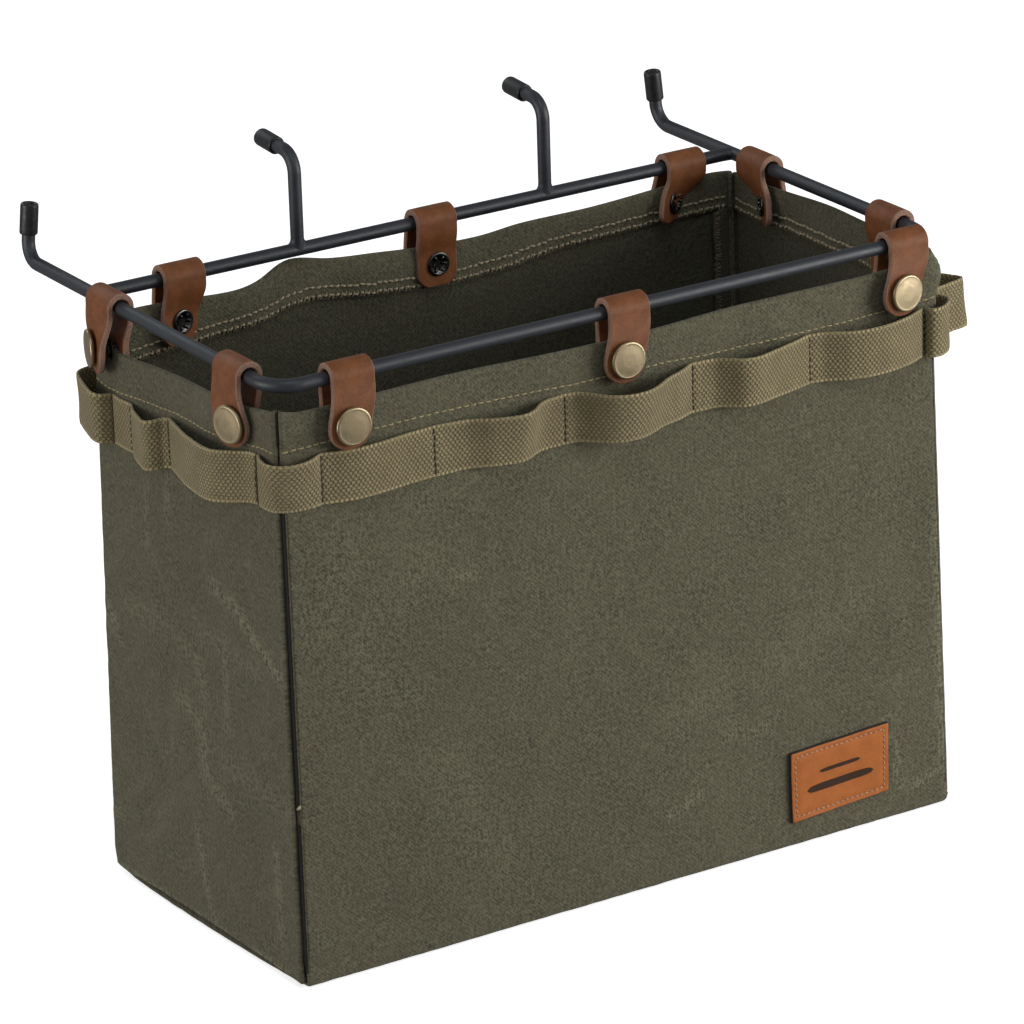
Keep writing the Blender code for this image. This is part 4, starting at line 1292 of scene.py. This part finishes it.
def webbing_strip(name, start, drop, stretches):
    """Woven tape on edge: a ring of section points at each step, pinched at the seams."""
    middle, tops, leans, seam_at = [], [], [], [0]
    for next_drop, lean, knots in stretches:
        line = spline_through([Vector(knot) * MM for knot in [start] + knots], 5)
        skip = 1 if middle else 0
        for k, point in enumerate(line[skip:], skip):
            t = k / (len(line) - 1)
            middle.append(point)
            tops.append(BAND_TOP - (drop + (next_drop - drop) * t) * MM)
            leans.append(lean * MM * math.sin(math.pi * t) ** 1.3)
        start, drop = knots[-1], next_drop
        seam_at.append(len(middle) - 1)
    rows = [k / 10 for k in range(11)]
    section = [(1, r) for r in rows] + [(-1, r) for r in reversed(rows)]
    along, last = lengths_along(middle), len(middle) - 1
    rings = []
    for k, (point, top, lean) in enumerate(zip(middle, tops, leans)):
        ahead = middle[min(k + 1, last)] - middle[max(k - 1, 0)]
        across = Vector((ahead.y, -ahead.x)).normalized()
        near = min(abs(along[k] - along[s]) for s in seam_at)
        pinch = 1 - 0.55 * math.exp(-(near / (0.9 * MM)) ** 2)
        free = ease(near / (9 * MM))
        ring = []
        for face, r in section:
            rim = abs(2 * r - 1) > 0.99
            cup = 0.45 * MM * free * (2 * r - 1) ** 2
            sway = 0.5 * MM * free * noise.noise(Vector((along[k] * 28, r * 1.5, 1.0)))
            spot = point + across * (face * WEB_T / 2 * pinch * (0.6 if rim else 1.0)
                                     + cup * 0.6 + sway + lean * (r - 0.5))
            fray = 0.15 * MM * noise.noise(Vector((along[k] * 700, r, 3.0))) if rim else 0.0
            z = top - WEB_WIDTH * (1 - r) + fray - abs(lean) * 0.12 * r
            ring.append(((*spot, z), (along[k], r * WEB_WIDTH)))
        rings.append(ring)
    piece = add_piece(name + "_tape", band_bmesh(rings, slant=0.1), ["webbing"],
                      [name], sharp=50.0)
    for number, s in enumerate(seam_at):
        ahead = middle[min(s + 1, last)] - middle[max(s - 1, 0)]
        across = Vector((ahead.y, -ahead.x, 0)).normalized()
        spots = []
        for k in range(9):
            z = tops[s] - WEB_WIDTH * (0.04 + 0.92 * k / 8)
            spots.append((Vector((*middle[s], z)) + across * (WEB_T * 0.22), across))
        # the seam thread is darkened with painted shade of the groove
        stitch_line(f"{name}_seam_{number}", spots, "dark_thread",
                                   radius=0.38 * MM, pitch=2.3 * MM, share=0.92,
                                   wobble=0.2, seed=number)


# ---------------------------------------------------------------- leather patch
def build_patch():
    """Blank tan patch with a pressed border, running stitches and two plain printed bars."""
    low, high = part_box("leather_patch")
    rise, slant = math.tan(math.radians(3.2)), math.tan(math.radians(0.5))
    w, h, t = 46.5 * MM, 29.6 * MM, 1.4 * MM
    centre = Vector(((low.x + high.x) / 2 - 1.3 * MM, high.y - 0.1 * MM,
                     (low.z + high.z) / 2 + 0.5 * MM))

    def place(x, z, out):
        spot = centre + Vector((x - z * slant, 0, z + x * rise))
        skin, _ = skin_at(distance_of("front", spot.x / MM), spot.z)
        return Vector((spot.x, skin.y - 0.15 * MM - out, spot.z))

    radius, steps = 0.5 * MM, 3
    outline = []
    for cx, cz, first in ((1, -1, -90), (1, 1, 0), (-1, 1, 90), (-1, -1, 180)):
        for k in range(steps + 1):
            angle = math.radians(first + 90 * k / steps)
            outline.append(((w / 2 - radius) * cx + radius * math.cos(angle),
                            (h / 2 - radius) * cz + radius * math.sin(angle)))
    edge = []
    for (x0, z0), (x1, z1) in zip(outline, outline[1:] + outline[:1]):
        pieces = max(1, round(math.hypot(x1 - x0, z1 - z0) / (1.5 * MM)))
        edge += [(x0 + (x1 - x0) * k / pieces, z0 + (z1 - z0) * k / pieces) for k in range(pieces)]

    def inset_edge(inset):
        """The edge's line drawn in by an inset."""
        fx, fz = 1 - inset / (w / 2), 1 - inset / (h / 2)
        return [(x * fx, z * fz) for x, z in edge]

    # the section from the back's edge over the rim and the pressed groove to the middle
    groove, press, swell = 2.3 * MM, 0.6 * MM, t + 0.08 * MM
    section = [(0.0, 0.0), (0.0, t - 0.35 * MM), (0.3 * MM, t), (groove - press, t),
               (groove, t - 0.22 * MM), (groove + press, t), (5 * MM, t + 0.05 * MM),
               (9 * MM, swell), (11.5 * MM, swell), (13.7 * MM, swell)]
    rings = [[(place(*spot, out), spot) for spot in inset_edge(inset)] for inset, out in section]
    add_piece("sewn_patch", band_bmesh(rings, edge_bands=2), ["patch", "patch_edge"],
              ["leather_patch"], sharp=50.0)
    spots = [(place(*spot, t - 0.12 * MM), Vector((0, -1, 0))) for spot in inset_edge(groove)]
    stitch_line("patch_stitches", spots + spots[:1], "light_thread", radius=0.3 * MM,
                pitch=2.3 * MM, share=0.68, wobble=0.2, seed=3)
    for name, z, half, tall in (("upper", 3.4, 9.5, 0.75), ("lower", -3.2, 15.5, 1.5)):
        count, rings = 24, []
        for k in range(count + 1):
            x = (-half + 2 * half * k / count) * MM
            thick = tall * MM * math.sqrt(max(1 - (2 * k / count - 1) ** 8, 0.02))
            rings.append([place(x, z * MM + thick * c, t + s * MM) for c, s in
                          ((-1, -0.1), (-1, 0.3), (1, 0.3), (1, -0.1))])
        add_piece(f"patch_bar_{name}", tube_bmesh(rings), ["print"])


# ---------------------------------------------------------------- leather straps
# Turn of a strap's lower end about the vertical and its sideways lean (mm), inside and
# outside the bag, and how far the loop has slid along the rod.
STRAP_MOODS = {
    "front_left": dict(slide=-1.8, lean_out=0.8),
    "front_middle": dict(slide=-2.4, lean_out=0.9, turn_in=5),
    "front_right": dict(slide=-5, lean_out=-0.6, turn_out=6, turn_in=4),
    "back_left": dict(turn_in=14, lean_in=-2),
    "back_middle": dict(lean_in=0.8),
    "back_right": dict(turn_in=30, lean_in=-4, slide=2.5, short=0.82),
    "left_front": dict(lean_out=-4.2, turn_out=14, lean_in=-1.5),
    "left_back": dict(slide=3.8, lean_out=4.5, turn_out=-18, turn_in=-10, lean_in=2),
    "right_front": dict(lean_out=0.6),
    "right_back": dict(turn_in=-26, lean_in=7, short=0.85),
}


# A strip's section: shares of its half width, of its bevel and of its half thickness.
STRAP_SECTION = ((-1, 1, 1), (-0.5, 0, 1.03), (0, 0, 1.04), (0.5, 0, 1.03), (1, -1, 1),
                 (1, 0, 0.6), (1, 0, -0.6), (1, -1, -1), (0, 0, -1), (-1, 1, -1), (-1, 0, -0.6),
                 (-1, 0, 0.6))
EDGE_BANDS = (4, 5, 6, 9, 10, 11)   # the section's bands that are a strip's cut edges


def end_half(distance, radius):
    """Half width of a strap at a distance from its rounded end."""
    if distance >= radius:
        return STRAP_W / 2
    return STRAP_W / 2 - radius + math.sqrt(max(radius ** 2 - (radius - distance) ** 2, 0.0))


def mood_share(drop):
    """How far a strap has taken on its turn and lean at a drop below the rod."""
    return ease((drop - 3.0 * MM) / (16 * MM))


def strap_rings(stations, place, turn, lean, slide):
    """Section rings of a leather strip; stations are (out, height, half width)."""
    rings = []
    last = len(stations) - 1
    bevel, half_t = 0.45 * MM, STRAP_T / 2
    for k, (out, height, half) in enumerate(stations):
        before, after = stations[max(k - 1, 0)], stations[min(k + 1, last)]
        along = Vector((after[0] - before[0], after[1] - before[1])).normalized()
        side = Vector((-along.y, along.x))
        share = mood_share(-height)
        spin = Matrix.Rotation(math.radians(turn) * share, 3, "Z")
        pivot = Vector((0.0, out, 0.0))
        thin = 0.72 if k in (0, last) and half < STRAP_W / 2 - 0.1 * MM else 1.0
        ring = []
        for share_w, share_b, s in STRAP_SECTION:
            local = Vector((half * share_w + bevel * share_b, out + s * thin * half_t * side.x,
                            height + s * thin * half_t * side.y))
            flat = spin @ (Vector((local.x, local.y, 0.0)) - pivot) + pivot
            ring.append(place @ Vector((flat.x + lean * MM * share + slide * MM * (1 - share),
                                        flat.y, local.z)))
        rings.append(ring)
    return rings


def leather_piece(name, rings, replaced, body, start_uv):
    bm = tube_bmesh(rings, start_uv)
    bands = len(STRAP_SECTION)
    for number, face in enumerate(bm.faces):
        at_end = number >= (len(rings) - 1) * bands
        face.material_index = 1 if at_end or number % bands in EDGE_BANDS else 0
    return add_piece(name, bm, ["leather", "leather_edge"], [replaced], body,
                     35.0)


def loop_stations(short):
    """Inner leg from its rounded lower end, then over the rod to the hinge's level.

    A leg that is bunched up hangs only a share of its length below the rod.
    """
    stations = []
    ends = (0.0, 0.25, 0.7, 1.4, 2.4, 3.6, 4.8, 6.0)
    for distance in ends + tuple(7.5 + 1.1 * k for k in range(15)):
        height = -STRAP_LENGTH + distance * MM
        blend = ease((height + 15.0 * MM) / (12.0 * MM))
        out = -2.0 * MM + (-LOOP_R + 2.0 * MM) * blend
        stations.append((out, height * short, end_half(distance * MM, LOOP_END_R)))
    for k in range(25):
        angle = math.pi * (1 - k / 24)
        stations.append((LOOP_R * math.cos(angle), LOOP_R * math.sin(angle), STRAP_W / 2))
    stations.append((LOOP_R, -0.2 * MM, STRAP_W / 2))
    return stations


def flap_stations():
    """Outer leg from just under the loop down to its rounded end over the snap."""
    stations = [(LOOP_R, -0.2 * MM, STRAP_W / 2), (LOOP_R, -BEND_TOP, STRAP_W / 2)]
    low = -STRAP_LENGTH
    for k in range(1, 19):
        height = -BEND_TOP + (low + FLAP_END_R + BEND_TOP) * k / 18
        stations.append((flap_out(height), height, STRAP_W / 2))
    for distance in (6.6, 5.2, 4.0, 2.9, 1.9, 1.1, 0.5, 0.15, 0.0):
        height = low + distance * MM
        stations.append((flap_out(height), height, end_half(distance * MM, FLAP_END_R)))
    return stations


def flap_out(height):
    hang = ease((-height - HINGE_DROP + 2.0 * MM) / (12.0 * MM))
    return LOOP_R + (5.9 * MM - LOOP_R) * hang


def snap_place(place, turn, lean, slide, short=1.0):
    """Matrix at a snap's centre whose Z runs outwards, following the strap's mood."""
    share = mood_share(SNAP_DROP)
    shift = lean * share + slide * (1 - share)
    return (place @ Matrix.Translation((shift * MM, 0.0, -SNAP_DROP * short))
            @ Matrix.Rotation(math.radians(turn) * share, 4, "Z")
            @ Matrix.Rotation(math.radians(-90.0), 4, "X"))


def snap_cap(name, place, body, replaced):
    """Brass cap: almost flat disc, rolled bright rim, barrel through the leather, socket."""
    profile = [(0, 9.55), (3, 9.52), (5.6, 9.4), (6.3, 9.38), (6.75, 9.42), (7.15, 9.3),
               (7.45, 8.95), (7.5, 8.5), (7.3, 8), (6.7, 7.5), (2, 7.4), (2, 4.5), (4.9, 4.5),
               (5.4, 4.1), (5.5, 3.2), (5.2, 2.7), (4.6, 2.6), (3.2, 2.6), (2.9, 3), (2.9, 4),
               (0, 4)]
    add_piece(name, lathe_bmesh(profile, 0.2, 56, place), ["brass"],
              [replaced], body, 50.0)


def snap_stud(name, place, replaced):
    """Stud outside the canvas, and inside the bag its post split and rolled into a star."""
    profile = [(0, 3.6), (1.7, 3.6), (2.3, 3.25), (2.4, 2.9), (1.9, 2.3), (4.5, 2.3),
               (4.75, 2.05), (4.5, 1.8), (2, 1.8), (2, -3.2), (4.6, -3.25), (5, -3.6),
               (4.9, -4.1), (4.3, -4.35), (3.7, -4.2), (2.9, -4), (2.4, -3.6), (1.9, -3.3),
               (0, -3.3)]
    bms = [lathe_bmesh(profile, 0.2, 48, place)]
    petals = 6
    for k in range(petals):
        angle = 2 * math.pi * k / petals
        ahead = Vector((math.cos(angle), math.sin(angle), 0))
        side = Vector((-ahead.y, ahead.x, 0))
        rings = []
        for t in (0.0, 0.2, 0.4, 0.6, 0.8, 1.0):
            reach = (1.7 + 2.2 * t) * MM
            lift = (-3.7 - 1.0 * math.sin(math.pi * t * 0.9)) * MM
            half = (0.75 - 0.55 * t) * MM
            centre = ahead * reach + UP * lift
            rings.append([place @ (centre + side * half * c + UP * 0.3 * MM * s) for c, s in
                          ((-1, 0), (-0.6, -1), (0.6, -1), (1, 0), (0.6, 1), (-0.6, 1))])
        bms.append(tube_bmesh(rings))
    add_piece(name, join(bms), ["gunmetal"], [replaced], sharp=50.0)


def build_straps():
    for joint in frame["joints"]:
        name = joint["child"].replace("flap_", "")
        node = "strap_" + name
        axis, hinge = Vector(joint["axis"]), Vector(joint["pos_m"])
        out = UP.cross(axis)
        rod = hinge - out * HINGE_OUT + UP * HINGE_DROP
        place = frame_matrix(rod, axis, out, UP)
        mood = dict(turn_in=0, turn_out=0, lean_in=0, lean_out=0, slide=0, short=1)
        mood.update(STRAP_MOODS[name])
        inner = (place, mood["turn_in"], mood["lean_in"], mood["slide"])
        outer = (place, mood["turn_out"], mood["lean_out"], mood["slide"])
        inner_rings = strap_rings(loop_stations(mood["short"]), *inner)
        leather_piece(f"leather_loop_{name}", inner_rings, node + "_loop", BODY, 0.0)
        flap_rings = [inner_rings[-1]] + strap_rings(flap_stations(), *outer)[1:]
        flap = leather_piece(f"leather_flap_{name}", flap_rings, node + "_flap", None, 0.045)
        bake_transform(flap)
        snap_cap(f"snap_cap_{name}", snap_place(*outer), joint["child"], node + "_cap")
        snap_stud(f"snap_stud_{name}", snap_place(*inner, mood["short"]), node + "_stud")


# ---------------------------------------------------------------- build
build_frame()
build_bag()
for run_name, run in WEBBING_RUNS.items():
    webbing_strip(run_name, *run)
build_patch()
build_straps()
